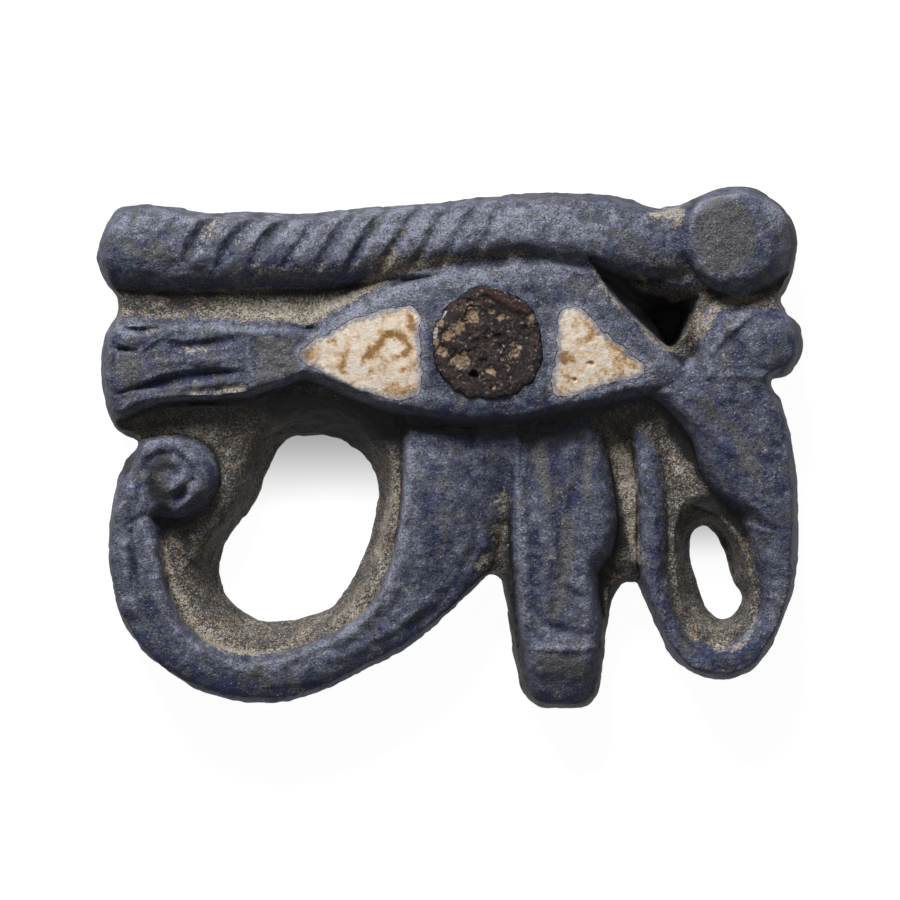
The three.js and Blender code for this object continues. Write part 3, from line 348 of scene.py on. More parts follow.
# Places darkened by dirt and by painted shade, under the lids, the bar, the coil and the disc, along
# creases and grooves, and in the pit: u, v, half width in pixels, and strength
GRIME_AND_SHADE_STROKES = [
    [(588, 257, 4, 0.8), (598, 270, 6, 1.0), (612, 286, 8, 1.2), (635, 297, 9, 1.2), (664, 302, 8, 1.2)],
    [(618, 300, 6, 0.7), (634, 315, 8, 0.8), (652, 329, 9, 1.2), (668, 341, 7, 1.2)],
    [(664, 312, 14, 1.2), (669, 332, 10, 1.2)], [(684, 305, 8, 0.9), (682, 325, 6, 0.9)],
    [(252, 405, 10, 0.6), (285, 408, 26, 1.6), (330, 418, 34, 2.2), (380, 426, 26, 1.8),
     (404, 430, 12, 1.1)],
    [(404, 426, 8, 1.0), (440, 430, 8, 1.0), (500, 428, 9, 1.1), (560, 419, 9, 1.1), (620, 403, 7, 0.9)],
    [(340, 398, 8, 0.6), (380, 412, 9, 0.8), (440, 421, 10, 0.8), (500, 422, 10, 0.8), (560, 413, 10, 0.8),
     (610, 402, 8, 0.7)],
    [(510, 440, 16, 0.3), (556, 440, 30, 0.7), (590, 436, 18, 0.5), (560, 470, 24, 0.3)],
    [(640, 399, 5, 0.8), (655, 404, 5, 0.9), (672, 420, 5, 0.8), (688, 442, 5, 0.7), (699, 476, 5, 0.6)],
    [(690, 430, 14, 0.3), (706, 450, 14, 0.5), (715, 480, 10, 0.3)],
    [(157, 404, 4, 0.6), (190, 404, 5, 0.8), (226, 403, 5, 0.9), (250, 400, 5, 0.8)],
    [(154, 520, 4, 0.7), (174, 524, 7, 1.2), (194, 520, 5, 0.8)],
    [(184, 538, 12, 0.8), (194, 562, 10, 0.6), (206, 585, 6, 0.4)],
    [(150, 482, 12, 0.8), (160, 496, 14, 1.0), (168, 508, 10, 0.8)],
    [(152, 470, 12, 0.8), (164, 464, 13, 1.0), (177, 467, 10, 0.8)],
    [(215, 445, 12, 0.3), (236, 450, 14, 0.5), (228, 490, 10, 0.3), (222, 520, 8, 0.3)],
    [(693, 264, 3, 0.3), (707, 276, 4, 0.4), (724, 284, 4, 0.6), (750, 287, 4, 0.5), (768, 286, 4, 0.4)],
    [(686, 500, 10, 0.9), (706, 505, 15, 1.6), (728, 516, 10, 1.2), (744, 534, 6, 0.8)],
    [(672, 428, 12, 0.5), (690, 456, 12, 0.7)], [(672, 265, 22, 0.4), (690, 288, 14, 0.4)],
    [(749, 530, 4, 0.7), (766, 533, 4, 0.8), (785, 533, 3, 0.5)], [(765, 599, 4, 0.8), (774, 599, 4, 0.8)],
    [(504, 575, 5, 0.4), (510, 620, 4, 0.6), (517, 670, 4, 0.6)], [(610, 564, 6, 0.7), (620, 572, 5, 0.5)],
    [(366, 440, 7, 0.9), (384, 446, 6, 0.7), (377, 470, 4, 0.4)],
    [(232, 430, 8, 0.3), (262, 430, 8, 0.8), (255, 470, 7, 0.4)],
]

# Places worn down to the bare paste: u, v, half width in pixels, and strength
BARE_STROKES = [
    [(112, 240, 8, 0.4), (145, 254, 14, 0.8), (180, 256, 10, 0.5)],
    [(150, 222, 10, 0.4), (170, 230, 8, 0.4)], [(131, 364, 17, 1.3), (131, 380, 16, 1.3)],
    [(262, 346, 16, 1.4), (272, 352, 24, 1.6), (270, 366, 24, 1.6), (264, 376, 14, 1.2)],
    [(288, 344, 12, 1.2), (290, 364, 14, 1.2)], [(345, 302, 8, 0.3), (380, 285, 8, 0.3)],
    [(535, 440, 16, 1.0), (544, 480, 14, 0.9), (550, 510, 11, 0.7)],
    [(566, 520, 12, 0.8), (566, 545, 14, 1.0), (562, 580, 13, 1.0), (552, 615, 12, 0.8)],
    [(545, 658, 16, 1.0), (575, 665, 18, 0.9)], [(590, 450, 12, 0.7), (584, 500, 10, 0.6)],
    [(672, 630, 8, 0.7), (690, 655, 8, 0.7)],
    [(690, 400, 14, 0.5), (725, 425, 14, 0.6), (755, 470, 14, 0.7), (770, 505, 10, 0.4)],
    [(440, 480, 10, 0.5), (450, 530, 12, 0.5)], [(250, 674, 14, 0.8), (300, 690, 10, 0.5)],
    [(150, 640, 8, 0.5), (170, 660, 10, 0.5)], [(160, 474, 14, 1.0), (165, 500, 13, 0.9)],
    [(790, 300, 8, 0.4), (795, 240, 6, 0.4)], [(784, 590, 8, 0.5), (770, 640, 8, 0.5)],
    [(540, 270, 6, 0.4), (570, 276, 8, 0.4)], [(510, 205, 8, 0.4), (560, 202, 8, 0.5), (600, 225, 8, 0.3)],
]

# Places painted paler: bleached by wear, and painted highlights along lit top edges and crests and on the
# disc's shaded flank: u, v, half width in pixels, and strength
FADED_AND_HIGHLIT_STROKES = [
    [(100, 218, 28, 0.9), (150, 218, 28, 0.95), (240, 226, 32, 0.85), (330, 230, 34, 0.9),
     (420, 226, 34, 1.1), (520, 220, 32, 0.9), (600, 216, 30, 0.6), (660, 222, 24, 0.4)],
    [(118, 362, 14, 0.3), (180, 364, 14, 0.4), (235, 362, 12, 0.3)],
    [(130, 208, 10, 0.3), (240, 218, 12, 0.4), (300, 219, 12, 0.7), (345, 214, 13, 1.0),
     (400, 210, 13, 0.9), (470, 204, 13, 0.8), (550, 199, 12, 0.7), (620, 204, 10, 0.7), (700, 202, 8, 0.5),
     (745, 192, 7, 0.6)],
    [(110, 328, 14, 0.8), (170, 324, 14, 0.8), (250, 324, 14, 0.9), (330, 314, 16, 1.0),
     (400, 288, 20, 1.2), (480, 274, 20, 1.2), (560, 272, 20, 1.0), (600, 290, 14, 0.4)],
    [(408, 440, 10, 0.4), (408, 490, 9, 0.6), (402, 540, 9, 0.7), (382, 594, 9, 0.7), (344, 636, 9, 0.8),
     (300, 658, 9, 0.7), (255, 668, 8, 0.6), (220, 660, 7, 0.3)],
    [(126, 478, 14, 0.5), (118, 520, 16, 0.6), (118, 560, 16, 0.6), (124, 600, 12, 0.4)],
    [(445, 455, 22, 0.35), (460, 475, 14, 0.2)],
    [(118, 463, 8, 0.5), (108, 500, 8, 0.5), (106, 560, 6, 0.4), (140, 443, 7, 0.4), (160, 440, 6, 0.4)],
    [(697, 205, 7, 0.7), (693, 235, 7, 0.7), (700, 262, 6, 0.5)],
    [(776, 208, 20, 1.8), (790, 235, 20, 2.0), (786, 262, 16, 1.6)],
    [(655, 212, 10, 0.6), (680, 214, 10, 0.8)],
    [(700, 350, 12, 0.4), (724, 332, 10, 0.5), (745, 312, 9, 0.6), (765, 302, 7, 0.4)],
    [(640, 372, 14, 0.3), (680, 370, 16, 0.3), (705, 380, 10, 0.2)],
    [(517, 480, 5, 0.3), (519, 560, 5, 0.4), (524, 640, 5, 0.4)], [(540, 648, 3, 0.4), (590, 647, 3, 0.5)],
    [(740, 646, 7, 0.4), (757, 615, 5, 0.4)], [(252, 340, 3, 0.4), (252, 388, 3, 0.4)],
]

# Places painted a deeper blue: fresh colour, and painted shade on the undersides of the brow, the bar and
# the lids, at the loop's bottom and on the hood's left side: u, v, half width in pixels, and strength
FRESH_AND_SHADED_STROKES = [
    [(778, 262, 8, 0.4), (758, 277, 8, 0.7), (730, 280, 5, 0.4)],
    [(112, 268, 6, 0.5), (118, 285, 6, 0.8), (118, 306, 5, 0.7)], [(186, 226, 6, 0.6), (160, 236, 6, 0.5)],
    [(190, 262, 7, 0.4), (222, 262, 10, 0.7)], [(250, 262, 9, 0.7), (278, 265, 8, 0.5)],
    [(300, 264, 9, 0.5), (335, 266, 8, 0.6)], [(352, 262, 8, 0.4), (385, 262, 8, 0.5)],
    [(420, 257, 8, 0.4), (470, 250, 8, 0.3)], [(140, 388, 6, 0.6), (180, 380, 8, 0.9), (228, 374, 8, 0.8)],
    [(150, 345, 5, 0.4), (120, 344, 5, 0.5)],
    [(200, 452, 6, 0.4), (212, 472, 8, 0.8), (210, 497, 8, 0.8), (190, 511, 7, 0.6)],
    [(130, 492, 6, 0.6), (128, 520, 7, 0.4)], [(150, 600, 9, 0.4), (168, 640, 10, 0.5)],
    [(210, 664, 10, 0.5), (245, 660, 8, 0.4)], [(330, 660, 8, 0.4), (400, 625, 9, 0.4)],
    [(140, 640, 14, 0.5), (175, 668, 18, 1.0), (210, 684, 20, 1.3), (255, 694, 20, 1.4),
     (315, 694, 18, 1.3), (375, 668, 16, 1.0), (420, 634, 10, 0.6)],
    [(400, 404, 11, 0.8), (450, 411, 12, 1.0), (510, 412, 12, 1.0), (560, 403, 12, 0.9),
     (610, 392, 10, 0.6)],
    [(650, 440, 9, 0.5), (652, 520, 10, 0.5), (660, 600, 11, 0.6), (690, 645, 16, 0.9), (730, 662, 16, 1.2),
     (765, 640, 14, 0.9)],
    [(425, 500, 8, 0.3), (440, 570, 10, 0.4)], [(470, 470, 8, 0.4), (484, 520, 6, 0.5)],
    [(531, 560, 7, 0.5), (536, 610, 7, 0.5)], [(596, 470, 7, 0.4), (602, 530, 9, 0.6), (594, 556, 7, 0.6)],
    [(556, 430, 22, 0.6), (560, 470, 20, 0.6), (560, 520, 18, 0.55), (566, 560, 14, 0.5)],
    [(584, 440, 10, 0.3), (580, 480, 8, 0.4)],
    [(530, 690, 10, 0.6), (562, 698, 10, 0.6), (592, 690, 8, 0.4)],
    [(590, 612, 7, 0.4), (594, 640, 5, 0.3)], [(650, 470, 6, 0.5), (656, 520, 7, 0.7), (658, 580, 7, 0.5)],
    [(668, 622, 8, 0.4), (690, 652, 8, 0.6), (720, 664, 8, 0.6)], [(760, 560, 8, 0.5), (765, 625, 9, 0.6)],
    [(690, 452, 7, 0.5), (706, 484, 8, 0.7), (740, 512, 8, 0.6)],
    [(700, 425, 16, 0.7), (716, 452, 16, 0.7), (735, 485, 12, 0.5)],
    [(700, 430, 12, 0.3), (730, 400, 12, 0.2)], [(770, 340, 20, 0.4), (790, 350, 12, 0.4)],
    [(296, 384, 7, 0.6), (350, 400, 8, 0.8), (420, 416, 9, 0.8), (500, 420, 9, 0.8), (560, 412, 8, 0.7),
     (620, 397, 8, 0.5)],
    [(610, 310, 8, 0.5), (640, 335, 8, 0.5)],
]

# Marks on the slips: u, v, half width in pixels, and depth in millimetres or strength
STONE_PITS = [
    [(588, 364, 3, 0.1), (592, 364, 3, 0.1)], [(573, 380, 3, 0.1), (575, 380, 3, 0.1)],
    [(330, 341, 3, 0.06), (335, 343, 3, 0.06)],
]
STONE_STAINS = [
    [(381, 331, 4, 0.5), (384, 338, 6, 0.8), (378, 346, 6, 0.9), (369, 354, 6, 0.9), (366, 357, 5, 0.6)],
    [(384, 336, 6, 0.8), (397, 336, 6, 0.9), (406, 340, 6, 0.9), (410, 349, 5, 0.9), (402, 357, 5, 0.7),
     (392, 358, 5, 0.5)],
    [(366, 356, 4, 0.5), (376, 358, 4, 0.4), (386, 359, 4, 0.4)],
    [(350, 337, 4, 0.4), (348, 350, 4, 0.5), (344, 362, 5, 0.8), (342, 372, 5, 0.8)],
    [(363, 359, 5, 0.7), (364, 364, 5, 0.7)], [(370, 375, 4, 0.5), (374, 371, 4, 0.5)],
    [(408, 314, 4, 0.6), (412, 324, 6, 0.9), (415, 330, 4, 0.6)], [(386, 315, 4, 0.3), (384, 313, 4, 0.3)],
    [(330, 342, 4, 0.8), (335, 343, 3, 0.6)], [(324, 360, 4, 0.3), (329, 368, 4, 0.3)],
    [(300, 352, 6, 0.7), (306, 356, 7, 0.9), (313, 351, 5, 0.6)], [(314, 346, 5, 0.3), (318, 350, 5, 0.2)],
    [(404, 370, 5, 0.7), (413, 367, 5, 0.7)], [(382, 366, 3, 0.3), (388, 372, 3, 0.3)],
    [(390, 388, 8, 0.5), (400, 392, 8, 0.5), (416, 388, 5, 0.5)],
    [(586, 325, 5, 0.5), (592, 332, 6, 0.7), (588, 340, 5, 0.6), (578, 345, 5, 0.4)],
    [(600, 332, 6, 0.5), (612, 345, 8, 0.6), (624, 354, 9, 0.7), (633, 366, 7, 0.7)],
    [(556, 352, 6, 0.6), (562, 358, 7, 0.9), (572, 358, 6, 0.6)], [(575, 322, 4, 0.4), (574, 328, 4, 0.4)],
    [(562, 370, 5, 0.4), (568, 378, 4, 0.4)], [(589, 364, 2.5, 0.9), (591, 364, 2.5, 0.9)],
    [(573, 380, 2.5, 0.8), (575, 380, 2.5, 0.8)],
    [(596, 374, 5, 0.4), (606, 370, 6, 0.5), (616, 376, 5, 0.4)], [(554, 388, 5, 0.6), (566, 393, 5, 0.5)],
    [(612, 356, 8, 0.5), (620, 366, 8, 0.6), (618, 376, 5, 0.4)],
]

# Bubbles of the pupil: u, v, radius in pixels, depth in millimetres, and how far earth fills them
PUPIL_BUBBLES = [
    (472, 316, 9.5, 0.16, 1.0), (459, 327, 7.5, 0.12, 1.0), (461, 361, 10.5, 0.18, 1.0),
    (443, 352, 7.5, 0.12, 1.0), (490, 371, 6, 0.1, 1.0), (440, 323, 5.5, 0.1, 1.0),
    (448, 336, 7, 0.12, 0.8), (492, 312, 4.5, 0.1, 1.0), (500, 318, 5, 0.1, 0.8), (515, 351, 9, 0.1, 0.5),
    (474, 375, 5, 0.4, 0.0), (436, 343, 4, 0.05, 1.0), (434, 331, 4, 0.05, 1.0), (503, 336, 4, 0.1, 0.0),
    (466, 303, 5, 0.1, 0.4), (458, 308, 4, 0.08, 0.3), (508, 368, 4, 0.1, 0.3), (525, 330, 4.5, 0.1, 0.0),
    (493, 387, 4, 0.08, 0.5), (487, 300, 5, 0.12, 0.2), (486, 346, 15, 0.16, 0.0), (531, 318, 5, 0.08, 0.7),
    (462, 293, 4, 0.08, 0.6),
]
PUPIL_RIDGE = [
    [(482, 289, 5, 0.1), (493, 295, 7, 0.26), (508, 305, 8, 0.3), (524, 312, 6, 0.22), (535, 322, 4, 0.08)],
]
# Pale chips of the pupil's edge, and painted glint lines on its face: u, v, half width in pixels, and
# strength
PUPIL_CHIPS_AND_GLINTS = [
    [(446, 313, 3, 1.0), (441, 319, 3, 1.2)], [(437, 330, 3.5, 1.2), (435, 338, 3.5, 1.2)],
    [(502, 343, 2, 0.5), (503, 348, 2.5, 0.7), (499, 354, 2, 0.7), (491, 360, 2, 0.4)],
    [(479, 380, 2, 0.4), (480, 376, 2, 0.5)], [(458, 293, 2, 0.7), (463, 291, 2, 0.7)],
]

# How far the outlines of the sockets, the rims of the bubbles and the pieces' faces wander: by how much,
# over what size in millimetres, and the seed's shift
RAGGED = [(0.1, 0.45, 21), (0.05, 0.2, 22)]
RIM_WANDER = [(0.3, 0.3, 7), (0.2, 0.12, 8)]
BODY_SWELL = [(1.3, 2.1, 0), (1.0, 0.95, 1), (0.7, 0.42, 2)]
STONE_SWELL = [(0.035, 0.9, 0), (0.015, 0.45, 1), (0.008, 0.2, 2)]
GLASS_SWELL = [(0.07, 0.8, 4), (0.06, 0.3, 5), (0.035, 0.15, 9)]
PASTE_SWELL = [(0.03, 0.7, 6)]
STAIN_WANDER, STAIN_WANDER_SIZE, STAIN_SPREAD = 0.14, 0.4, 1.35

# Reaches in millimetres over which a hollow is measured, and the tones of the stone's grains
HOLLOW_REACHES = (0.22, 1.1)
GRAIN_TONES = ((0.15, 0.15, 0.15), (0.9, 0.9, 0.9))

# Walls: how far they swing out under the face and turn in over the back, and how far the sockets' floors
# and the beds' faces lie under the nodes they follow, in millimetres
BODY_SWING, BODY_TUCK, SOCKET_DROP = 0.25, 0.45, 0.2
STONE_SWING, GLASS_SWING, INLAY_TUCK = 0.02, 0.04, 0.1
PASTE_SWING, PASTE_TUCK, PASTE_GAP, PASTE_STEP, PASTE_SINK = 0.05, 0.05, 0.1, 0.2, 0.03
SHEET_SPACING = 1.0

# The pupil's face in millimetres: under its node's top, the worn edge and its width, and the fall to the
# right between two columns
GLASS_SINK, GLASS_WEAR, GLASS_WEAR_WIDTH, GLASS_FALL, GLASS_FALL_COLUMNS = 0.15, 0.2, 0.5, 0.12, (500, 540)
BUBBLE_DEPTH_SHARE, BUBBLE_POWER = 1.4, 0.7

# Painted shade on the floor under the two loops: u, v, half width and half height in pixels, and how much
# darker the painted shade is on the side next to the brow
PAINTED_LOOP_SHADES = [(298, 528, 100, 113, 0.62), (716, 573, 38, 60, 0.5)]
FLOOR_REACH, FLOOR_WHITE, FLOOR_GREY = 1.5, 0.97, 0.15
LAMP_PLACE, LAMP_SIZE, LOOKED_AT = (-0.12, 0.43, 0.33), 0.22, 4 * MM
SENSOR_WIDTH = 36.0


def on_amulet(u, v):
    """Millimetres east and north of the amulet's middle, from photograph pixels."""
    return (np.asarray(u) - PHOTO_MIDDLE_U) * PX, (PHOTO_MIDDLE_V - np.asarray(v)) * PX


def places(table):
    """A table's rows with u and v turned to millimetres, and its third column, a half width, too."""
    rows = np.array(table, float)
    rows[:, 0], rows[:, 1] = on_amulet(rows[:, 0], rows[:, 1])
    if rows.shape[1] > 2:
        rows[:, 2] *= PX
    return rows


def smooth_line(rows, closed=False, steps=5):
    """Points on a centripetal Catmull-Rom curve: between two rows it is the cubic that leaves and arrives
    with the slopes of the parabolas through the neighbouring rows, timed by the square root of their
    distances."""
    p = np.asarray(rows, float)
    p = np.vstack([p[-1], p, p[:2]]) if closed else np.vstack([2 * p[0] - p[1], p, 2 * p[-1] - p[-2]])
    a, b, c, d = p[:-3], p[1:-2], p[2:-1], p[3:]
    apart = np.sqrt(np.maximum(np.linalg.norm(np.diff(p[:, :2], axis=0), axis=1), 1e-9))[:, None]
    ab, bc, cd = apart[:-2], apart[1:-1], apart[2:]
    leave = ((b - a) / ab - (c - a) / (ab + bc) + (c - b) / bc) * bc
    arrive = ((c - b) / bc - (d - b) / (bc + cd) + (d - c) / cd) * bc
    t = (np.arange(steps) / steps)[None, :, None]
    b, c, leave, arrive = b[:, None], c[:, None], leave[:, None], arrive[:, None]
    line = (2 * t**3 - 3 * t**2 + 1) * b + (t**3 - 2 * t**2 + t) * leave
    line = line + (3 * t**2 - 2 * t**3) * c + (t**3 - t**2) * arrive
    line = line.reshape(-1, p.shape[1])
    return np.vstack([line, line[:1] if closed else p[-2:-1]])


def nearest_on(x, y, line):
    """For each place: its distance to a polyline, its side of it (1 is left), and the line's other columns
    there, blended between the ends of the nearest segment."""
    a, step = line[:-1], np.diff(line, axis=0)
    length2 = np.maximum((step[:, :2] ** 2).sum(1), 1e-12)
    distance, side = np.empty_like(x), np.empty_like(x)
    columns = np.empty((len(x), line.shape[1] - 2))
    for start in range(0, len(x), CHUNK):
        part = slice(start, start + CHUNK)
        dx, dy = x[part, None] - a[:, 0], y[part, None] - a[:, 1]
        t = np.clip((dx * step[:, 0] + dy * step[:, 1]) / length2, 0, 1)
        ex, ey = dx - t * step[:, 0], dy - t * step[:, 1]
        squared = ex * ex + ey * ey
        k = squared.argmin(1)
        row = np.arange(len(k))
        distance[part] = np.sqrt(squared[row, k])
        side[part] = np.where(step[k, 0] * dy[row, k] > step[k, 1] * dx[row, k], 1.0, -1.0)
        columns[part] = a[k, 2:] + t[row, k][:, None] * step[k, 2:]
    return distance, side, columns


def odd_crossings(x, y, a, b):
    """Whether a ray to the east from each place crosses the edges from a to b an odd number of times."""
    within = np.zeros(len(x), bool)
    slope = (b[:, 0] - a[:, 0]) / np.where(b[:, 1] == a[:, 1], 1e-12, b[:, 1] - a[:, 1])
    for start in range(0, len(x), CHUNK):
        px, py = x[start : start + CHUNK, None], y[start : start + CHUNK, None]
        crossed = ((a[:, 1] > py) != (b[:, 1] > py)) & (px < a[:, 0] + (py - a[:, 1]) * slope)
        within[start : start + CHUNK] = crossed.sum(1) % 2 == 1
    return within


def in_reach(x, y, line, reach):
    """The indices of the places in a line's bounding box, widened by reach."""
    low, high = line[:, :2].min(0) - reach, line[:, :2].max(0) + reach
    return np.flatnonzero((x > low[0]) & (x < high[0]) & (y > low[1]) & (y < high[1]))


def inside(x, y, loop, reach=1e9):
    """Signed distance to a closed outline, positive within, by the nearest edge and by counting the edges
    that a ray to the east crosses. Places further out than reach get minus reach."""
    result = np.full(x.shape, -float(reach))
    near = in_reach(x, y, loop, reach)
    px, py = x[near], y[near]
    distance = nearest_on(px, py, loop[:, :2])[0]
    within = odd_crossings(px, py, loop[:-1, :2], loop[1:, :2])
    result[near] = np.where(within, distance, -distance)
    return result


def smooth_max(a, b, blend):
    """The larger of two heights, with a parabola over the corner where they are within blend."""
    return np.maximum(a, b) + np.maximum(blend - np.abs(a - b), 0) ** 2 / (4 * max(blend, TINY))


def smooth_min(a, b, blend):
    """The smaller of two heights, blended in the same way."""
    return -smooth_max(-a, -b, blend)


def ramp(value, start, end):
    """0 up to start, 1 from end, and a smooth S between them."""
    t = np.clip((value - start) / (end - start), 0, 1)
    return t * t * (3 - 2 * t)


def lattice(i, j, k, seed):
    """A repeatable random number from 0 to 1 for each lattice point, by mixing the bits of its indices."""
    mixed = (i * 73856093) ^ (j * 19349663) ^ (k * 83492791) ^ (seed * 2654435761)
    mixed = (mixed ^ (mixed >> 13)) * 1274126177 & 0xFFFFFFFF
    mixed = (mixed ^ (mixed >> 16)) * 2246822519 & 0xFFFFFFFF
    return ((mixed ^ (mixed >> 15)) & 0xFFFFFF) / float(0x1000000)


def noise(x, y, z, size, seed):
    """Value noise from -1 to 1: random numbers on a lattice of a given size, blended by quintic weights."""
    p = [q / size for q in (x, y, z)]
    cell = [np.floor(q).astype(np.int64) for q in p]
    f = [q - c for q, c in zip(p, cell)]
    w = [q * q * q * (q * (q * 6 - 15) + 10) for q in f]
    total = 0.0
    for corner in range(8):
        step = [(corner >> axis) & 1 for axis in range(3)]
        weight = 1.0
        for axis in range(3):
            weight = weight * (w[axis] if step[axis] else 1 - w[axis])
        total = total + weight * lattice(*(c + s for c, s in zip(cell, step)), seed)
    return 2 * total - 1


def rough(x, y, z, layers, seed):
    """The sum of layers of value noise, each with its own height, size and shift of the seed."""
    return sum(height * noise(x, y, z, size, seed + shift) for height, size, shift in layers)


def member(x, y, table, foot):
    """A raised roll along a line: its height falls from the crest to the foot as a quarter of an ellipse,
    on each side over what its half width leaves there."""
    line = smooth_line(places(table))
    height = np.full(x.shape, BELOW_ALL)
    near = in_reach(x, y, line, line[:, 2].max())
    distance, side, columns = nearest_on(x[near], y[near], line)
    across, lean = side * distance / columns[:, 0], columns[:, 2]
    across = np.where(across > lean, (across - lean) / (1 - lean), (lean - across) / (1 + lean))
    roll = np.sqrt(1 - np.clip(across, 0, 1) ** 2)
    height[near] = np.where(across < 1, foot + (columns[:, 1] - foot) * roll, BELOW_ALL)
    return height


def strokes(x, y, tables, spread=1.0):
    """The deepest of several drawn strokes: each is its own depth on the line and falls to nothing at
    its half width times spread, as a squared parabola."""
    depth = np.zeros(x.shape)
    for table in tables:
        line = smooth_line(places(table))
        line[:, 2] *= spread
        near = in_reach(x, y, line, line[:, 2].max())
        distance, _, columns = nearest_on(x[near], y[near], line)
        fall = np.clip(1 - (distance / columns[:, 0]) ** 2, 0, 1) ** 2
        depth[near] = np.maximum(depth[near], columns[:, 1] * fall)
    return depth


def slab(d, foot, top, rounding):
    """A raised flat member: from the foot at its outline to the top, over a quarter of an ellipse."""
    s = np.clip(d / rounding, 0, 1)
    return np.where(d > 0, foot + (top - foot) * np.sqrt(1 - (1 - s) ** 2), BELOW_ALL)


def loop_of(table):
    """A closed smooth outline, in millimetres, from a table of photograph pixels."""
    return smooth_line(places(table), closed=True)


def funnel(x, y, hole, crest, lip, top, power):
    """The wall of an opening: lip at the hole and top at the crest, by the share of the way between
    them."""
    from_hole = np.maximum(-inside(x, y, hole, 6.0), 0)
    to_crest = inside(x, y, crest, 1.0)
    share = from_hole / np.maximum(from_hole + np.maximum(to_crest, 0), 1e-6)
    return np.where(to_crest > 0, lip + (top - lip) * share**power, -BELOW_ALL)


def photo(x, y):
    """Photograph pixels of places in millimetres."""
    return PHOTO_MIDDLE_U + x / PX, PHOTO_MIDDLE_V - y / PX


def sloped(u, v, slope):
    """A slope's height: where it starts, and each of its climbs times the product of the climb's ramps."""
    start, climbs = slope
    height = np.full(u.shape, float(start))
    for climb, ramps in climbs:
        full = np.prod([ramp((u, v)[axis], low, high) for axis, low, high in ramps], axis=0)
        height = height + climb * full
    return height


def eye_dome(u, v):
    """The ball of the eye: an upturned bowl, highest at the pupil."""
    ways = zip((u, v), EYE_MIDDLE, EYE_FALLS, EYE_REACHES)
    return EYE_TOP - sum(fall * ((at - middle) / reach) ** 2 for at, middle, fall, reach in ways)


def disc_flat(x, y):
    """How far out a place is from the middle of the sun disc's worn flat: 1 on the ellipse round the
    flat."""
    u, v = photo(x, y)
    middle_u, middle_v, half_u, half_v = DISC_FLAT
    return np.hypot((u - middle_u) / half_u, (v - middle_v) / half_v)


def sun_disc(x, y):
    """The sun disc: a low cone on its worn flat, and a shoulder that falls to the foot as a superellipse,
    by the share of the way from the flat to the disc's outline."""
    u, v = photo(x, y)
    beyond = DISC_PIXEL * np.maximum(disc_flat(x, y) - 1, 0)
    left = np.maximum(DISC[2] - np.hypot(u - DISC[0], v - DISC[1]), 0)
    q = beyond / np.maximum(beyond + left, TINY)
    shoulder = DISC_FOOT + DISC_RISE * np.clip(1 - q**DISC_POWER, 0, 1) ** (1 / DISC_POWER)
    return np.where(q < 1, shoulder + DISC_CROWN * (1 - q), BELOW_ALL)


def cobra_head(u, v):
    """The cobra's head: a rounded boss over an ellipse, tilted a little towards the disc."""
    middle_u, middle_v, half_u, half_v = HEAD
    s = 1 - (((u - middle_u) / half_u) ** 2 + ((v - middle_v) / half_v) ** 2) ** 1.5
    height = HEAD_FOOT + HEAD_RISE * np.sqrt(np.maximum(s, 0)) - HEAD_TILT * (v - middle_v)
    return np.where(s > 0, height, BELOW_ALL)


def skirt(d, top, fall, width):
    """Ground that climbs evenly to a raised part: top at its outline, and lower by fall over a width
    outside it."""
    return top - fall * np.clip(-d / width, 0, 1)


def carved_ground(x, y):
    """What lies between the raised members: the plaque's ground, its slopes up to the bar and the lids, and
    the walls of the two loops and of the pit, which reach down from their crests."""
    u, v = photo(x, y)
    sunk = sloped(u, v, UNDER_LIDS)
    to_lids = skirt(inside(x, y, loop_of(EYE), 3), *LID_SKIRT) + sunk
    to_bar = skirt(inside(x, y, loop_of(BAR), 3), *BAR_SKIRT) + sunk
    h = smooth_max(sloped(u, v, GROUND), to_lids, SKIRT_BLEND)
    h = smooth_max(h, sloped(u, v, OVER_EYE), OVER_EYE_BLEND)
    h = smooth_max(h, to_bar, SKIRT_BLEND)
    for floor, crest, lip, (top, blend), _, power in OPENINGS:
        h = smooth_min(h, funnel(x, y, loop_of(floor), loop_of(crest), lip, top, power), blend)
    return h


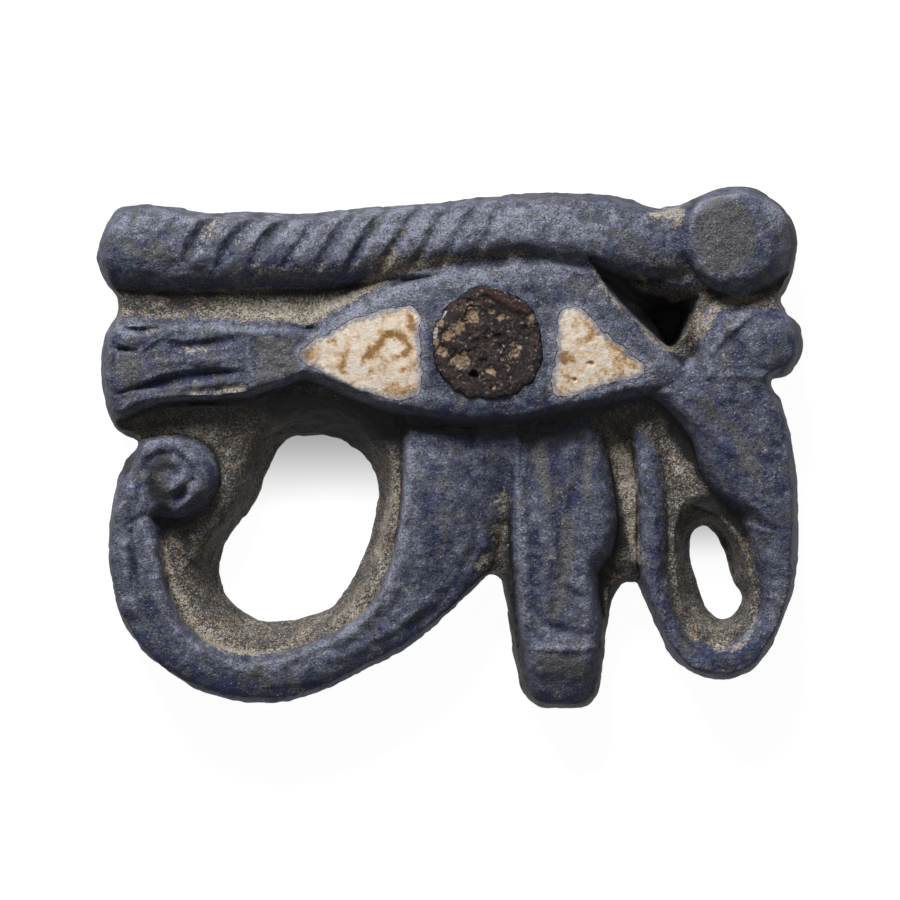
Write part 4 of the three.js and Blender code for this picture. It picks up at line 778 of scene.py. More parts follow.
def carved_face(x, y):
    """The carved face: ground, then each member joined to it by smooth maxima, then the openings, hollows
    and tool marks cut by smooth minima."""
    u, v = photo(x, y)
    lids, bar = inside(x, y, loop_of(EYE), 3), inside(x, y, loop_of(BAR), 3)
    coil, drop, hood = (inside(x, y, loop_of(table), 1) for table in (COIL, DROP, HOOD))
    hood_top = sloped(u, v, HOOD_TOP) + HOOD_CROWN * ramp(hood, 0, HOOD_CROWN_REACH)
    tilt_start, tilt_end = BAR_TILT_ROWS
    bar_top = sloped(u, v, BAR_TOP) - BAR_TILT * np.clip(v - tilt_start, 0, tilt_end - tilt_start)
    h = carved_ground(x, y)
    for slope, blend in JOINED_SLOPES:
        h = smooth_max(h, sloped(u, v, slope), blend)
    h = smooth_max(h, member(x, y, ARM, ARM_FOOT), ARM_BLEND)
    h = smooth_max(h, slab(coil, COIL_FOOT, COIL_TOP, COIL_ROUNDING), COIL_BLEND)
    h = smooth_max(h, slab(drop, DROP_FOOT, np.interp(v, DROP_ROWS, DROP_TOPS), DROP_ROUNDING), DROP_BLEND)
    h = smooth_max(h, member(x, y, TAIL, TAIL_FOOT), TAIL_BLEND)
    h = smooth_max(h, slab(hood, HOOD_FOOT, hood_top, HOOD_ROUNDING), HOOD_BLEND)
    h = smooth_max(h, cobra_head(u, v), HEAD_BLEND)
    h = smooth_max(h, slab(bar, BAR_FOOT, bar_top, BAR_ROUNDING), BAR_BLEND)
    h = smooth_max(h, slab(lids, LID_FOOT, eye_dome(u, v), LID_ROUNDING), LID_BLEND)
    h = smooth_max(h, member(x, y, BROW, BROW_FOOT), BROW_BLEND)
    h = smooth_max(h, sun_disc(x, y), DISC_BLEND)
    for floor, crest, lip, _, (top, blend), power in OPENINGS:
        h = smooth_min(h, funnel(x, y, loop_of(floor), loop_of(crest), lip, top, power), blend)
    marks = [*BROW_MARKS, *BAR_MARKS, *ARM_MARKS, *DROP_MARKS, *COIL_MARKS, *HOOD_MARKS]
    return h + strokes(x, y, RIDGES) - strokes(x, y, marks)


def amulet_relief(x, y):
    """The carved face under the silhouette's rounded edge, a quarter of an ellipse."""
    s = np.clip(inside(x, y, loop_of(SILHOUETTE), 3) / EDGE_ROUNDING, 0, 1)
    edge = EDGE_FOOT + EDGE_RISE * np.sqrt(1 - (1 - s) ** 2)
    return smooth_min(carved_face(x, y), edge, EDGE_BLEND)


def cut_grid(low, high, step, plan):
    """A grid of squares over the places where plan, a signed distance, is positive. A vertex stands in the
    middle of four samples, and where the outline passes between them it goes to the mean of the outline's
    crossings. Returns the vertices, the squares, the directed edges along the outline with the inside on
    their left, a mask of the vertices on the outline, and the mask of the grid's cells that hold a
    vertex."""
    nx, ny = (int(math.ceil((high[i] - low[i]) / step)) + 3 for i in (0, 1))
    xs, ys = low[0] - step + step * np.arange(nx), low[1] - step + step * np.arange(ny)
    gx, gy = np.meshgrid(xs, ys)
    d = plan(gx.ravel(), gy.ravel()).reshape(ny, nx)
    for _ in range(4):
        a, b, c, e = d[:-1, :-1] > 0, d[:-1, 1:] > 0, d[1:, 1:] > 0, d[1:, :-1] > 0
        j, i = ((a & c & ~b & ~e) | (b & e & ~a & ~c)).nonzero()
        for dj, di in ((0, 0), (0, 1), (1, 0), (1, 1)):
            d[j + dj, i + di] = np.minimum(d[j + dj, i + di], -1e-4)
    corner = [d[:-1, :-1], d[:-1, 1:], d[1:, 1:], d[1:, :-1]]
    place = [(0, 0), (1, 0), (1, 1), (0, 1)]
    mx, my, count = (np.zeros(corner[0].shape) for _ in range(3))
    for k in range(4):
        p, q = corner[k], corner[(k + 1) % 4]
        cross = (p > 0) != (q > 0)
        t = np.where(cross, p / np.where(p == q, 1, p - q), 0)
        mx += cross * (place[k][0] + t * (place[(k + 1) % 4][0] - place[k][0]))
        my += cross * (place[k][1] + t * (place[(k + 1) % 4][1] - place[k][1]))
        count += cross
    mixed = count > 0
    vx = xs[:-1][None, :] + step * np.where(mixed, mx / np.maximum(count, 1), 0.5)
    vy = ys[:-1][:, None] + step * np.where(mixed, my / np.maximum(count, 1), 0.5)
    used = mixed | (corner[0] > 0)
    number = np.full(used.shape, -1)
    number[used] = np.arange(used.sum())
    solid = d > 0
    j, i = solid[1:-1, 1:-1].nonzero()
    j, i = j + 1, i + 1
    squares = np.stack([number[j - 1, i - 1], number[j - 1, i], number[j, i], number[j, i - 1]], axis=1)
    beside = ((-1, 0), (0, 1), (1, 0), (0, -1))
    edges = [squares[~solid[j + dj, i + di]][:, [k, (k + 1) % 4]] for k, (dj, di) in enumerate(beside)]
    return np.stack([vx[used], vy[used]], axis=1), squares, np.concatenate(edges), mixed[used], used


def uphill(plan, x, y, reach=0.02):
    """The direction in which a signed distance grows, from differences over a small reach."""
    gx = plan(x + reach, y) - plan(x - reach, y)
    gy = plan(x, y + reach) - plan(x, y - reach)
    length = np.maximum(np.hypot(gx, gy), 1e-9)
    return gx / length, gy / length


def flat_sheet(points, edges, within, spacing, faces_up):
    """A flat sheet inside closed chains of edges: the Delaunay triangulation of their points and of a loose
    grid between them, without the triangles whose middles lie outside. Returns the grid's points and
    triangles."""
    low, high = points.min(0), points.max(0)
    gx, gy = np.meshgrid(np.arange(low[0], high[0], spacing), np.arange(low[1], high[1], spacing))
    gx, gy = gx.ravel(), gy.ravel()
    starts, ends = points[edges[:, 0]], points[edges[:, 1]]
    keep = odd_crossings(gx, gy, starts, ends) & (within(gx, gy) > 0.5 * spacing)
    every = np.vstack([points, np.stack([gx[keep], gy[keep]], axis=1)])
    made = delaunay_2d_cdt([Vector(p) for p in every.tolist()], edges.tolist(), [], 0, 1e-7)
    origin = np.array([o[0] if o else -1 for o in made[3]])
    triangles = origin[np.array(made[2])]
    triangles = triangles[(triangles >= 0).all(1)]
    middle = every[triangles].mean(1)
    triangles = triangles[odd_crossings(middle[:, 0], middle[:, 1], starts, ends)]
    a, b, c = (every[triangles[:, k]] for k in range(3))
    turn = (b[:, 0] - a[:, 0]) * (c[:, 1] - a[:, 1]) - (b[:, 1] - a[:, 1]) * (c[:, 0] - a[:, 0])
    triangles = np.where(((turn > 0) != faces_up)[:, None], triangles[:, ::-1], triangles)
    return every[len(points):], triangles


class Plate:
    """A closed solid under a relief: a face cut from a grid, walls of rows around each outline and socket,
    and flat sheets over the back and the socket floors. All in millimetres."""

    # How near a socket's outline a wall's vertex lies to belong to that socket, in millimetres
    AT_SOCKET = 0.1

    # Shares of a wall: where its swing out ends, where its turn in starts, how long it is, and its largest
    # reach
    SWING_END, TURN_START, TURN_SPAN, MOST_TUCK = 0.35, 0.8, 0.2, 0.3

    def __init__(self, span, step, plan, relief, base, rim, tuck, sockets=(), socket_floor=0.0, rows=9):
        """The face's height is relief(x, y) over plan less rim. Each wall swings out by rim on a quarter of
        a sine, falls to the base and turns in by tuck on a quarter of a circle. Socket walls fall
        straight."""
        self.step, self.plan, self.rim, self.tuck, self.sockets = step, plan, rim, tuck, sockets
        face, squares, self.edges, mixed, self.used = cut_grid(span[0], span[1], step, self.net)
        edge = np.flatnonzero(mixed)
        for _ in range(2):
            nx, ny = uphill(self.net, *face[edge].T)
            face[edge] -= np.stack([nx, ny], axis=1) * self.net(*face[edge].T)[:, None]
        self.face_count, self.chain = len(face), np.unique(self.edges)
        self.solid, self.squares, self.triangles = [np.column_stack([face, relief(*face.T)])], [squares], []
        self.socket = self.sunk(*face[self.chain].T) > -self.AT_SOCKET
        last = self.raise_walls(face, base, socket_floor, rows)
        self.close_floors(face, last, base, socket_floor)
        self.at = np.concatenate(self.solid)
        self.quads, self.triangles = np.concatenate(self.squares), np.concatenate(self.triangles)
        self.chain_of_wall = np.concatenate([np.arange(len(face)), np.tile(self.chain, rows)])

    def sunk(self, x, y):
        """Signed distance to the nearest socket's outline, positive within."""
        return np.max([np.full(x.shape, BELOW_ALL), *(s(x, y) for s in self.sockets)], axis=0)

    def net(self, x, y):
        """Signed distance to the face's outline: within the plan less the rim, and outside the sockets."""
        return np.minimum(self.plan(x, y) - self.rim, -self.sunk(x, y))

    def raise_walls(self, face, base, socket_floor, rows):
        """Adds the rows of the walls under the face's outlines, and returns the last row's vertex
        numbers."""
        cx, cy = face[self.chain].T
        nx, ny = uphill(self.net, cx, cy)
        top, floor = self.solid[0][self.chain, 2], np.where(self.socket, socket_floor, base)
        turned = np.minimum(self.tuck, self.MOST_TUCK * (top - base))
        index, total = np.arange(len(face)), len(face)
        for s in np.linspace(0, 1, rows + 1)[1:]:
            swing = self.rim * math.sin(min(s / self.SWING_END, 1) * math.pi / 2)
            turn = max(s - self.TURN_START, 0) / self.TURN_SPAN * math.pi / 2
            out = np.where(self.socket, 0, swing - turned * (1 - math.cos(turn)))
            straight = min(s / self.TURN_START, 1) * (top - base - turned) + turned * math.sin(turn)
            fall = np.where(self.socket, s * (top - floor), straight)
            self.solid.append(np.column_stack([cx - nx * out, cy - ny * out, top - fall]))
            fresh = np.full(len(face), -1)
            fresh[self.chain] = total + np.arange(len(self.chain))
            a, b = self.edges.T
            self.squares.append(np.stack([index[b], index[a], fresh[a], fresh[b]], axis=1))
            index, total = fresh, total + len(self.chain)
        return index

    def close_floors(self, face, last, base, socket_floor):
        """Adds a flat sheet over the back, and one over each socket's floor."""
        total = sum(len(part) for part in self.solid)
        first, ring = total - len(self.chain), self.solid[-1][:, :2]
        ends = last[self.edges] - first
        cx, cy = face[self.chain].T
        sheets = [(~self.socket, lambda x, y: self.plan(x, y) - self.tuck, base, False)]
        sheets += [(s(cx, cy) > -self.AT_SOCKET, s, socket_floor, True) for s in self.sockets]
        for mask, within, level, faces_up in sheets:
            chosen = np.flatnonzero(mask)
            local = np.full(len(self.chain), -1)
            local[chosen] = np.arange(len(chosen))
            around = local[ends[mask[ends[:, 0]]]]
            extra, made = flat_sheet(ring[chosen], around, within, SHEET_SPACING, faces_up)
            self.triangles.append(np.concatenate([first + chosen, total + np.arange(len(extra))])[made])
            self.solid.append(np.column_stack([extra, np.full(len(extra), level)]))
            total += len(extra)

    def normals(self):
        """Each vertex's outward direction: the sum of its faces' normals, each as long as its face is
        large."""
        at, total = self.at, np.zeros_like(self.at)
        for faces in (self.quads, self.triangles):
            a, b, c, d = (at[faces[:, k]] for k in (0, 1, 2, -1))
            across = np.cross(c - a, d - b)
            for column in faces.T:
                for axis in range(3):
                    total[:, axis] += np.bincount(column, across[:, axis], len(at))
        return total / np.maximum(np.linalg.norm(total, axis=1), TINY**2)[:, None]

    def along_walls(self, values):
        """The face's values for every vertex: a wall vertex gets that of the face's edge above it, and the
        flat sheets get 0."""
        values = values[self.chain_of_wall]
        return np.concatenate([values, np.zeros(len(self.at) - len(values))])

    def hollow(self, height, reach):
        """How far each face vertex's height lies under the mean height around it, a Gaussian of that
        reach."""
        level, mask = np.zeros(self.used.shape), self.used.astype(float)
        level[self.used] = height
        pad = int(4 * reach / self.step)
        shape = [n + pad for n in mask.shape]
        fy, fx = np.fft.fftfreq(shape[0])[:, None], np.fft.rfftfreq(shape[1])[None, :]
        kernel = np.exp(-2 * (math.pi * reach / self.step) ** 2 * (fx * fx + fy * fy))

        def blurred(field):
            """The field's local mean."""
            wide = np.fft.irfft2(np.fft.rfft2(field, shape) * kernel, shape)
            return wide[: mask.shape[0], : mask.shape[1]]

        return self.along_walls((blurred(level) / np.maximum(blurred(mask), 1e-3) - level)[self.used])

    def swell_face(self, layers, seed):
        """Raises and sinks the face by layers of noise, and leaves the walls and the back."""
        swell = rough(*self.at.T, layers, seed)
        self.at[: self.face_count, 2] += swell[: self.face_count]

    def piece(self, name, material, node, slot_name, **columns):
        """Puts the plate into a mesh object with its number columns as attributes, and hangs it on the
        frame."""
        mesh = bpy.data.meshes.new(name)
        corners = np.concatenate([self.quads.ravel(), self.triangles.ravel()]).astype(np.int32)
        sizes = np.concatenate([np.full(len(self.quads), 4), np.full(len(self.triangles), 3)])
        mesh.vertices.add(len(self.at))
        mesh.vertices.foreach_set("co", (self.at * MM).astype(np.float32).ravel())
        mesh.loops.add(len(corners))
        mesh.loops.foreach_set("vertex_index", corners)
        mesh.polygons.add(len(sizes))
        mesh.polygons.foreach_set("loop_start", (np.cumsum(sizes) - sizes).astype(np.int32))
        mesh.polygons.foreach_set("use_smooth", np.ones(len(sizes), bool))
        for column, values in columns.items():
            made = mesh.attributes.new(column, "FLOAT", "POINT")
            made.data.foreach_set("value", values.astype(np.float32))
        mesh.materials.append(material)
        mesh.update()
        mesh.set_sharp_from_angle(angle=math.radians(60))
        if mesh.validate():
            raise RuntimeError(f"{name} has faces that Blender had to mend")
        shown = bpy.data.objects.new(name, mesh)
        bpy.context.collection.objects.link(shown)
        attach(shown, "root")
        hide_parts(node)
        return shown


class Finish:
    """A material's node tree, with short calls for the nodes that the finishes share."""

    def __init__(self, name, roughness, specular):
        """An opaque surface whose patterns are read from Object coordinates, turned to millimetres."""
        self.material = bpy.data.materials.new(name)
        self.material.use_nodes = True
        self.tree = self.material.node_tree
        self.surface = self.tree.nodes["Principled BSDF"]
        self.surface.inputs["Roughness"].default_value = roughness
        self.surface.inputs["Specular IOR Level"].default_value = specular
        place = self.tree.nodes.new("ShaderNodeTexCoord")
        scaled = self.tree.nodes.new("ShaderNodeVectorMath")
        scaled.operation = "SCALE"
        scaled.inputs["Scale"].default_value = 1 / MM
        self.join(place.outputs["Object"], scaled.inputs[0])
        self.place = scaled.outputs[0]

    def join(self, value, socket):
        """Links an output to a socket, or writes a number or colour into it."""
        if isinstance(value, bpy.types.NodeSocket):
            self.tree.links.new(value, socket)
        elif hasattr(value, "__len__"):
            socket.default_value = [*value, 1.0][: len(socket.default_value)]
        else:
            socket.default_value = value

    def sum(self, operation, a, b=0.0, clamp=False):
        """One arithmetic step."""
        node = self.tree.nodes.new("ShaderNodeMath")
        node.operation, node.use_clamp = operation, clamp
        self.join(a, node.inputs[0])
        self.join(b, node.inputs[1])
        return node.outputs[0]

    def total(self, *terms):
        """The sum of outputs, each multiplied by its own number."""
        result = 0.0
        for value, weight in terms:
            node = self.tree.nodes.new("ShaderNodeMath")
            node.operation = "MULTIPLY_ADD"
            self.join(value, node.inputs[0])
            self.join(weight, node.inputs[1])
            self.join(result, node.inputs[2])
            result = node.outputs[0]
        return result

    def mix(self, share, a, b, blend="MIX"):
        """Two colours mixed by a share."""
        node = self.tree.nodes.new("ShaderNodeMix")
        node.data_type, node.blend_type = "RGBA", blend
        self.join(share, node.inputs["Factor"])
        self.join(a, node.inputs[6])
        self.join(b, node.inputs[7])
        return node.outputs[2]

    def step(self, value, start, end, low=0.0, high=1.0):
        """A smooth S from low at start to high at end."""
        node = self.tree.nodes.new("ShaderNodeMapRange")
        node.interpolation_type = "SMOOTHSTEP"
        for k, number in enumerate((value, start, end, low, high)):
            self.join(number, node.inputs[k])
        return node.outputs[0]

    def texture(self, kind, size, shift):
        """A texture node with features of about size millimetres, over coordinates moved by shift."""
        node = self.tree.nodes.new(kind)
        node.inputs["Scale"].default_value = 1 / size
        moved = self.tree.nodes.new("ShaderNodeVectorMath")
        self.join(self.place, moved.inputs[0])
        moved.inputs[1].default_value = shift
        self.join(moved.outputs[0], node.inputs["Vector"])
        return node

    def cloud(self, size, detail=3.0, rough=0.55, shift=(0, 0, 0)):
        """Fractal noise whose largest features are about size millimetres."""
        node = self.texture("ShaderNodeTexNoise", size, shift)
        node.inputs["Detail"].default_value = detail
        node.inputs["Roughness"].default_value = rough
        return node.outputs["Fac"]

    def patches(self, size, shift=(0, 0, 0)):
        """Clouds with their contrast raised, so that they cover the whole way from 0 to 1."""
        return self.step(self.cloud(size, 4.0, 0.62, shift), 0.33, 0.67)

    def grains(self, size, shift=(0, 0, 0)):
        """Grains of about size millimetres: each one's random number, and the distance to its middle."""
        node = self.texture("ShaderNodeTexVoronoi", size, shift)
        apart = self.tree.nodes.new("ShaderNodeSeparateColor")
        self.join(node.outputs["Color"], apart.inputs[0])
        return apart.outputs[0], node.outputs["Distance"]

    def column(self, name):
        """A number that the piece holds at its vertices."""
        node = self.tree.nodes.new("ShaderNodeAttribute")
        node.attribute_name = name
        return node.outputs["Fac"]

    def rough_up(self, height, depth):
        """Bump: a height from 0 to 1 that stands for depth millimetres, over what is there already."""
        node = self.tree.nodes.new("ShaderNodeBump")
        node.inputs["Strength"].default_value = 1.0
        node.inputs["Distance"].default_value = depth * MM
        self.join(height, node.inputs["Height"])
        links = self.surface.inputs["Normal"].links
        if links:
            self.join(links[0].from_socket, node.inputs["Normal"])
        self.join(node.outputs[0], self.surface.inputs["Normal"])


def faience_finish(colours):
    """Granular quartz paste stained blue: navy where it is fresh, and as painted shade on the undersides;
    paler and greyer where worn, and as painted highlights on lit edges and crests; with a thin film of earth
    in patches, a fine grain, and single pale grains mixed with painted glints. Speckled earth lies over the
    ground and in the hollows, sandy where the piece's sand column says so, and dark dirt with painted shade
    lies deepest."""
    f = Finish("faience", 0.62, 0.22)
    broad, mid = f.patches(1.9), f.patches(0.75, (5, 2, 8))
    fine, film = f.patches(0.2, (3, 7, 1)), f.patches(1.0, (9, 4, 2))
    grain, middle = f.grains(0.075)
    wear, worn, sand = f.column("wear"), f.column("worn"), f.column("sand")
    # This tone also carries painted highlights on lit edges and painted shade on undersides
    tone = f.total((broad, 0.25), (mid, 0.48), (fine, 0.3), (wear, 0.5), (f.column("faded_and_painted_light"), 0.5))
    colour = f.mix(f.step(tone, 0.42, 0.8), colours.faience_deep, colours.faience_pale)
    colour = f.mix(f.step(tone, 0.8, 1.4), colour, colours.faience_faded)
    thin = f.total((film, 0.6), (fine, 0.3), (worn, 0.2))
    colour = f.mix(f.step(thin, 0.5, 0.85, 0.0, 0.8), colour, colours.soil_thin)
    bare = f.total((worn, 1.0), (mid, 0.25), (fine, 0.15))
    colour = f.mix(f.step(bare, 0.5, 0.95, 0.0, 0.85), colour, colours.faience_bare)
    earth = f.total((grain, 0.6), (sand, 0.7), (fine, 0.3), (mid, 0.25))
    soil = f.mix(f.step(earth, 0.5, 1.4), colours.soil_dark, colours.soil_pale)
    rusty = f.total((f.patches(0.7, (4, 6, 2)), 0.8), (grain, 0.5), (fine, 0.3))
    soil = f.mix(f.step(rusty, 0.88, 1.35, 0.0, 0.55), soil, colours.soil_rust)
    soiled = f.total((f.column("soil"), 0.8), (fine, 0.35), (mid, 0.3), (grain, 0.2), (sand, 0.6))
    colour = f.mix(f.step(soiled, 0.72, 1.1, 0.0, 0.95), colour, soil)
    # Dark dirt and painted shade: darkest in the hollows, the deep places and the listed dark strokes
    grime_and_shade = f.total((f.column("deep"), 1.0), (f.column("hollow"), 0.6), (fine, 0.3), (sand, -0.7))
    colour = f.mix(f.step(grime_and_shade, 0.35, 1.15, 0.0, 0.985), colour, colours.grime_and_shade)
    shade = f.step(grain, 0.0, 1.0, 0.6, 1.4)
    level = f.tree.nodes.new("ShaderNodeCombineColor")
    for k in range(3):
        f.join(shade, level.inputs[k])
    colour = f.mix(1.0, colour, level.outputs[0], "MULTIPLY")
    # Single pale grains, and painted glints
    pale_grain_and_glint = f.total((grain, 1.0), (f.column("soil"), 0.02), (f.column("deep"), -0.05))
    colour = f.mix(f.step(pale_grain_and_glint, 0.965, 0.99, 0.0, 0.38), colour, colours.grit_and_glint)
    colour = f.mix(f.step(grain, 0.05, 0.02, 0.0, 0.7), colour, colours.grime_and_shade)
    f.join(colour, f.surface.inputs["Base Color"])
    f.rough_up(f.cloud(0.45, 4.0, 0.68, (1, 1, 4)), 0.2)
    f.rough_up(f.sum("SUBTRACT", 1.0, middle), 0.03)
    return f.material


def stone_finish(colours):
    """Porous cream stone: soft brown iron stains where the piece's stain column and two noises agree."""
    f = Finish("pale_stone", 0.85, 0.3)
    patches, fine = f.patches(0.9), f.patches(0.22, (2, 9, 3))
    grain, middle = f.grains(0.11)
    freckles = f.patches(0.3, (8, 1, 5))
    stained = f.total((f.column("stain"), 0.95), (patches, 0.25), (fine, 0.35), (freckles, 0.3))
    colour = f.mix(f.total((patches, 0.5), (freckles, 0.25)), colours.stone_pale, colours.stone_warm)
    colour = f.mix(f.step(stained, 0.35, 0.95, 0.0, 0.9), colour, colours.stone_rust)
    colour = f.mix(f.step(stained, 0.75, 1.3, 0.0, 0.95), colour, colours.stone_stain)
    colour = f.mix(0.2, colour, f.mix(grain, *GRAIN_TONES), "OVERLAY")
    hazed = f.total((f.column("edge"), 0.9), (fine, 0.4), (freckles, 0.2))
    colour = f.mix(f.step(hazed, 0.6, 1.3, 0.0, 0.85), colour, colours.faience_faded)
    f.join(colour, f.surface.inputs["Base Color"])
    f.rough_up(f.cloud(0.28, 4.0, 0.65, (2, 9, 3)), 0.03)
    f.rough_up(f.sum("SUBTRACT", 1.0, middle), 0.015)
    return f.material


def glass_finish(colours):
    """Dark vesicular glass: brown black, dully shining, red along its ridge, with tan earth in the bubbles,
    pale chips at its edge, and painted glints on single grains and in short lines."""
    f = Finish("dark_glass", 0.34, 0.25)
    patches, fine = f.patches(0.7), f.patches(0.2, (2, 9, 3))
    grain, middle = f.grains(0.14)
    warm = f.step(f.total((patches, 0.5), (fine, 0.3), (grain, 0.4)), 0.3, 0.95)
    colour = f.mix(warm, colours.glass_dark, colours.glass_warm)
    red = f.step(f.total((f.column("ridge"), 1.0), (fine, 0.3)), 0.4, 1.1)
    colour = f.mix(red, colour, colours.glass_red)
    filled = f.step(f.total((f.column("fill"), 1.0), (fine, 0.5), (grain, 0.25)), 0.5, 1.1, 0.0, 0.95)
    earth = f.mix(f.total((grain, 0.5), (fine, 0.5)), colours.fill_dark, colours.fill_pale)
    colour = f.mix(filled, colour, earth)
    # Painted glints on single grains
    colour = f.mix(f.step(grain, 0.93, 0.97, 0.0, 0.6), colour, colours.glass_painted_glint)
    # Pale chips, and painted glint lines
    chipped = f.total((f.column("chip"), 1.0), (fine, 0.5))
    colour = f.mix(f.step(chipped, 0.7, 1.1, 0.0, 0.9), colour, colours.glass_chip)
    f.join(colour, f.surface.inputs["Base Color"])
    f.join(f.total((filled, 0.4), (f.step(fine, 0.0, 1.0, 0.3, 0.55), 1.0)), f.surface.inputs["Roughness"])
    f.rough_up(f.cloud(0.3, 5.0, 0.75, (2, 9, 3)), 0.2)
    f.rough_up(f.sum("SUBTRACT", 1.0, middle), 0.012)
    return f.material


def paste_finish(colours):
    """Coarse setting plaster, out of sight under the inlays."""
    f = Finish("plaster", 0.9, 0.3)
    fine = f.cloud(0.4, 4.0, 0.6)
    f.join(f.mix(fine, colours.paste_dark, colours.paste_pale), f.surface.inputs["Base Color"])
    f.rough_up(fine, 0.08)
    return f.material


def span_of(loop):
    """The lowest and highest corner of an outline."""
    return loop[:, :2].min(0), loop[:, :2].max(0)


def amulet_plan(x, y):
    """Signed distance to the openwork outline: inside the silhouette and outside the two loops."""
    shown, loop, small = (inside(x, y, loop_of(table), 6) for table in (SILHOUETTE, LOOP_HOLE, SMALL_HOLE))
    return np.minimum(shown, -np.maximum(loop, small))


def socket_plan(table, gap=0.0):
    """Signed distance to a socket's ragged outline, or to the outline of what lies in it with a gap round
    it."""
    loop = loop_of(table)
    return lambda x, y: inside(x, y, loop, 3) + rough(x, y, x * 0, RAGGED, 0) - gap


def node_heights(node):
    """The lowest and highest z of a CAD node, in millimetres."""
    low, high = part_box(node)
    return low.z / MM, high.z / MM


def length_property(name, description, default, least=0.0):
    """A length that the panel shows in the scene's unit, from millimetres."""
    return FloatProperty(
        name=name, description=description, default=default * MM, min=least * MM, precision=5,
        subtype="DISTANCE", unit="LENGTH")


class AmuletSizes(bpy.types.PropertyGroup):
    """Fineness and roughness of the pieces."""

    mesh_step: length_property("Mesh Step", "Spacing of the faience face's grid", 0.117, 0.05)
    inlay_step: length_property("Inlay Step", "Spacing of the inlays' grids", 0.06, 0.03)
    grain_height: length_property("Grain Height", "How far the fired surface swells and sinks", 0.075)
    inlay_gap: length_property("Inlay Gap", "Open line around each inlay", 0.01, 0.005)
    inlay_sink: length_property("Inlay Sink", "How far the stone slips lie under the lids", 0.03)
    seed: IntProperty(name="Seed", description="Starts every random pattern of the relief", default=7)


def colour_property(name, description, default):
    """A linear colour that the panel shows as a swatch."""
    return FloatVectorProperty(
        name=name, description=description, default=default, size=3, min=0, max=1, subtype="COLOR")


class AmuletColours(bpy.types.PropertyGroup):
    """Colours of the finishes."""

    # Also the colour of the painted shade on the undersides
    faience_deep: colour_property("Deep Blue", "Faience where its colour is fresh", (0.021, 0.027, 0.066))
    faience_pale: colour_property("Pale Blue", "Faience where it is weathered", (0.075, 0.083, 0.122))
    # Also the colour of the painted highlights on lit top edges, crests and the disc's shaded flank
    faience_faded: colour_property("Faded Blue", "Faience bleached by light and wear", (0.2, 0.213, 0.268))
    faience_bare: colour_property("Bare Paste", "Faience worn down to the paste", (0.098, 0.097, 0.102))
    # Also the near black of the painted shade in the hollows, under the lids, the bar and the coil, and in
    # the pit
    grime_and_shade: colour_property("Grime", "Dark earth rubbed into the hollows", (0.009, 0.0085, 0.01))
    # Pale grains of the paste and the earth, and painted glints
    grit_and_glint: colour_property("Grit", "Single pale grains in the paste and in the earth", (0.5, 0.48, 0.44))
    soil_pale: colour_property("Pale Soil", "Lighter earth in the hollows", (0.345, 0.31, 0.256))
    soil_rust: colour_property("Rusty Soil", "Browner patches of the earth", (0.26, 0.18, 0.11))
    soil_dark: colour_property("Dark Soil", "Darker earth in the hollows", (0.055, 0.051, 0.047))
    soil_thin: colour_property("Thin Soil", "Film of earth on the faience", (0.075, 0.07, 0.065))
    stone_pale: colour_property("Pale Stone", "Slips of the eye", (0.74, 0.67, 0.57))
    stone_warm: colour_property("Warm Stone", "Warmer parts of the slips", (0.7, 0.54, 0.4))
    stone_rust: colour_property("Rust", "Paler rim of the stains", (0.56, 0.37, 0.2))
    stone_stain: colour_property("Iron Stain", "Brown stains of the slips", (0.24, 0.125, 0.045))
    glass_dark: colour_property("Dark Glass", "Pupil", (0.006, 0.0042, 0.0045))
    glass_warm: colour_property("Warm Glass", "Browner parts of the pupil", (0.038, 0.023, 0.021))
    glass_red: colour_property("Red Glass", "Raised edge of the pupil", (0.026, 0.006, 0.007))
    # Painted glints of the pupil's grains
    glass_painted_glint: colour_property("Sparkle", "Single bright grains of the pupil", (0.26, 0.23, 0.22))
    # Fresh chips of the pupil's edge, and painted glint lines
    glass_chip: colour_property("Chips", "Fresh chips of the pupil's edge", (0.5, 0.5, 0.5))
    fill_dark: colour_property("Dark Filling", "Darker earth in the pupil's bubbles", (0.1, 0.065, 0.04))
    fill_pale: colour_property("Pale Filling", "Lighter earth in the pupil's bubbles", (0.52, 0.38, 0.25))
    paste_dark: colour_property("Dark Paste", "Darker parts of the setting paste", (0.32, 0.27, 0.2))
    paste_pale: colour_property("Pale Paste", "Lighter parts of the setting paste", (0.62, 0.56, 0.46))


class AmuletStage(bpy.types.PropertyGroup):
    """Camera and lights."""

    lens: FloatProperty(
        name="Lens", description="Focal length of the camera", default=400, subtype="DISTANCE_CAMERA")
    key_power: FloatProperty(
        name="Key Power", description="Lamp over the picture's top edge", default=4.6, min=0,
        subtype="POWER", unit="POWER")
    sky: FloatProperty(name="Sky", description="Strength of the white world", default=0.06, min=0)


class Maker:
    """What the operators share."""

    bl_options = {"REGISTER", "UNDO"}

    @staticmethod
    def of(context):
        """The scene's sizes and colours."""
        return context.scene.amulet_sizes, context.scene.amulet_colours


def swell_body(plate, height, seed):
    """Swells and sinks the fired surface along its normals, but not beside the sockets, and keeps it over
    the back's plane. Returns by how much each vertex went."""
    x, y, z = plate.at.T
    swell = height * rough(x, y, z, BODY_SWELL, seed) * ramp(-plate.sunk(x, y), -0.02, 0.35)
    plate.at += plate.normals() * swell[:, None]
    plate.at[:, 2] = np.maximum(plate.at[:, 2], 0.01 * np.abs(swell))
    return swell


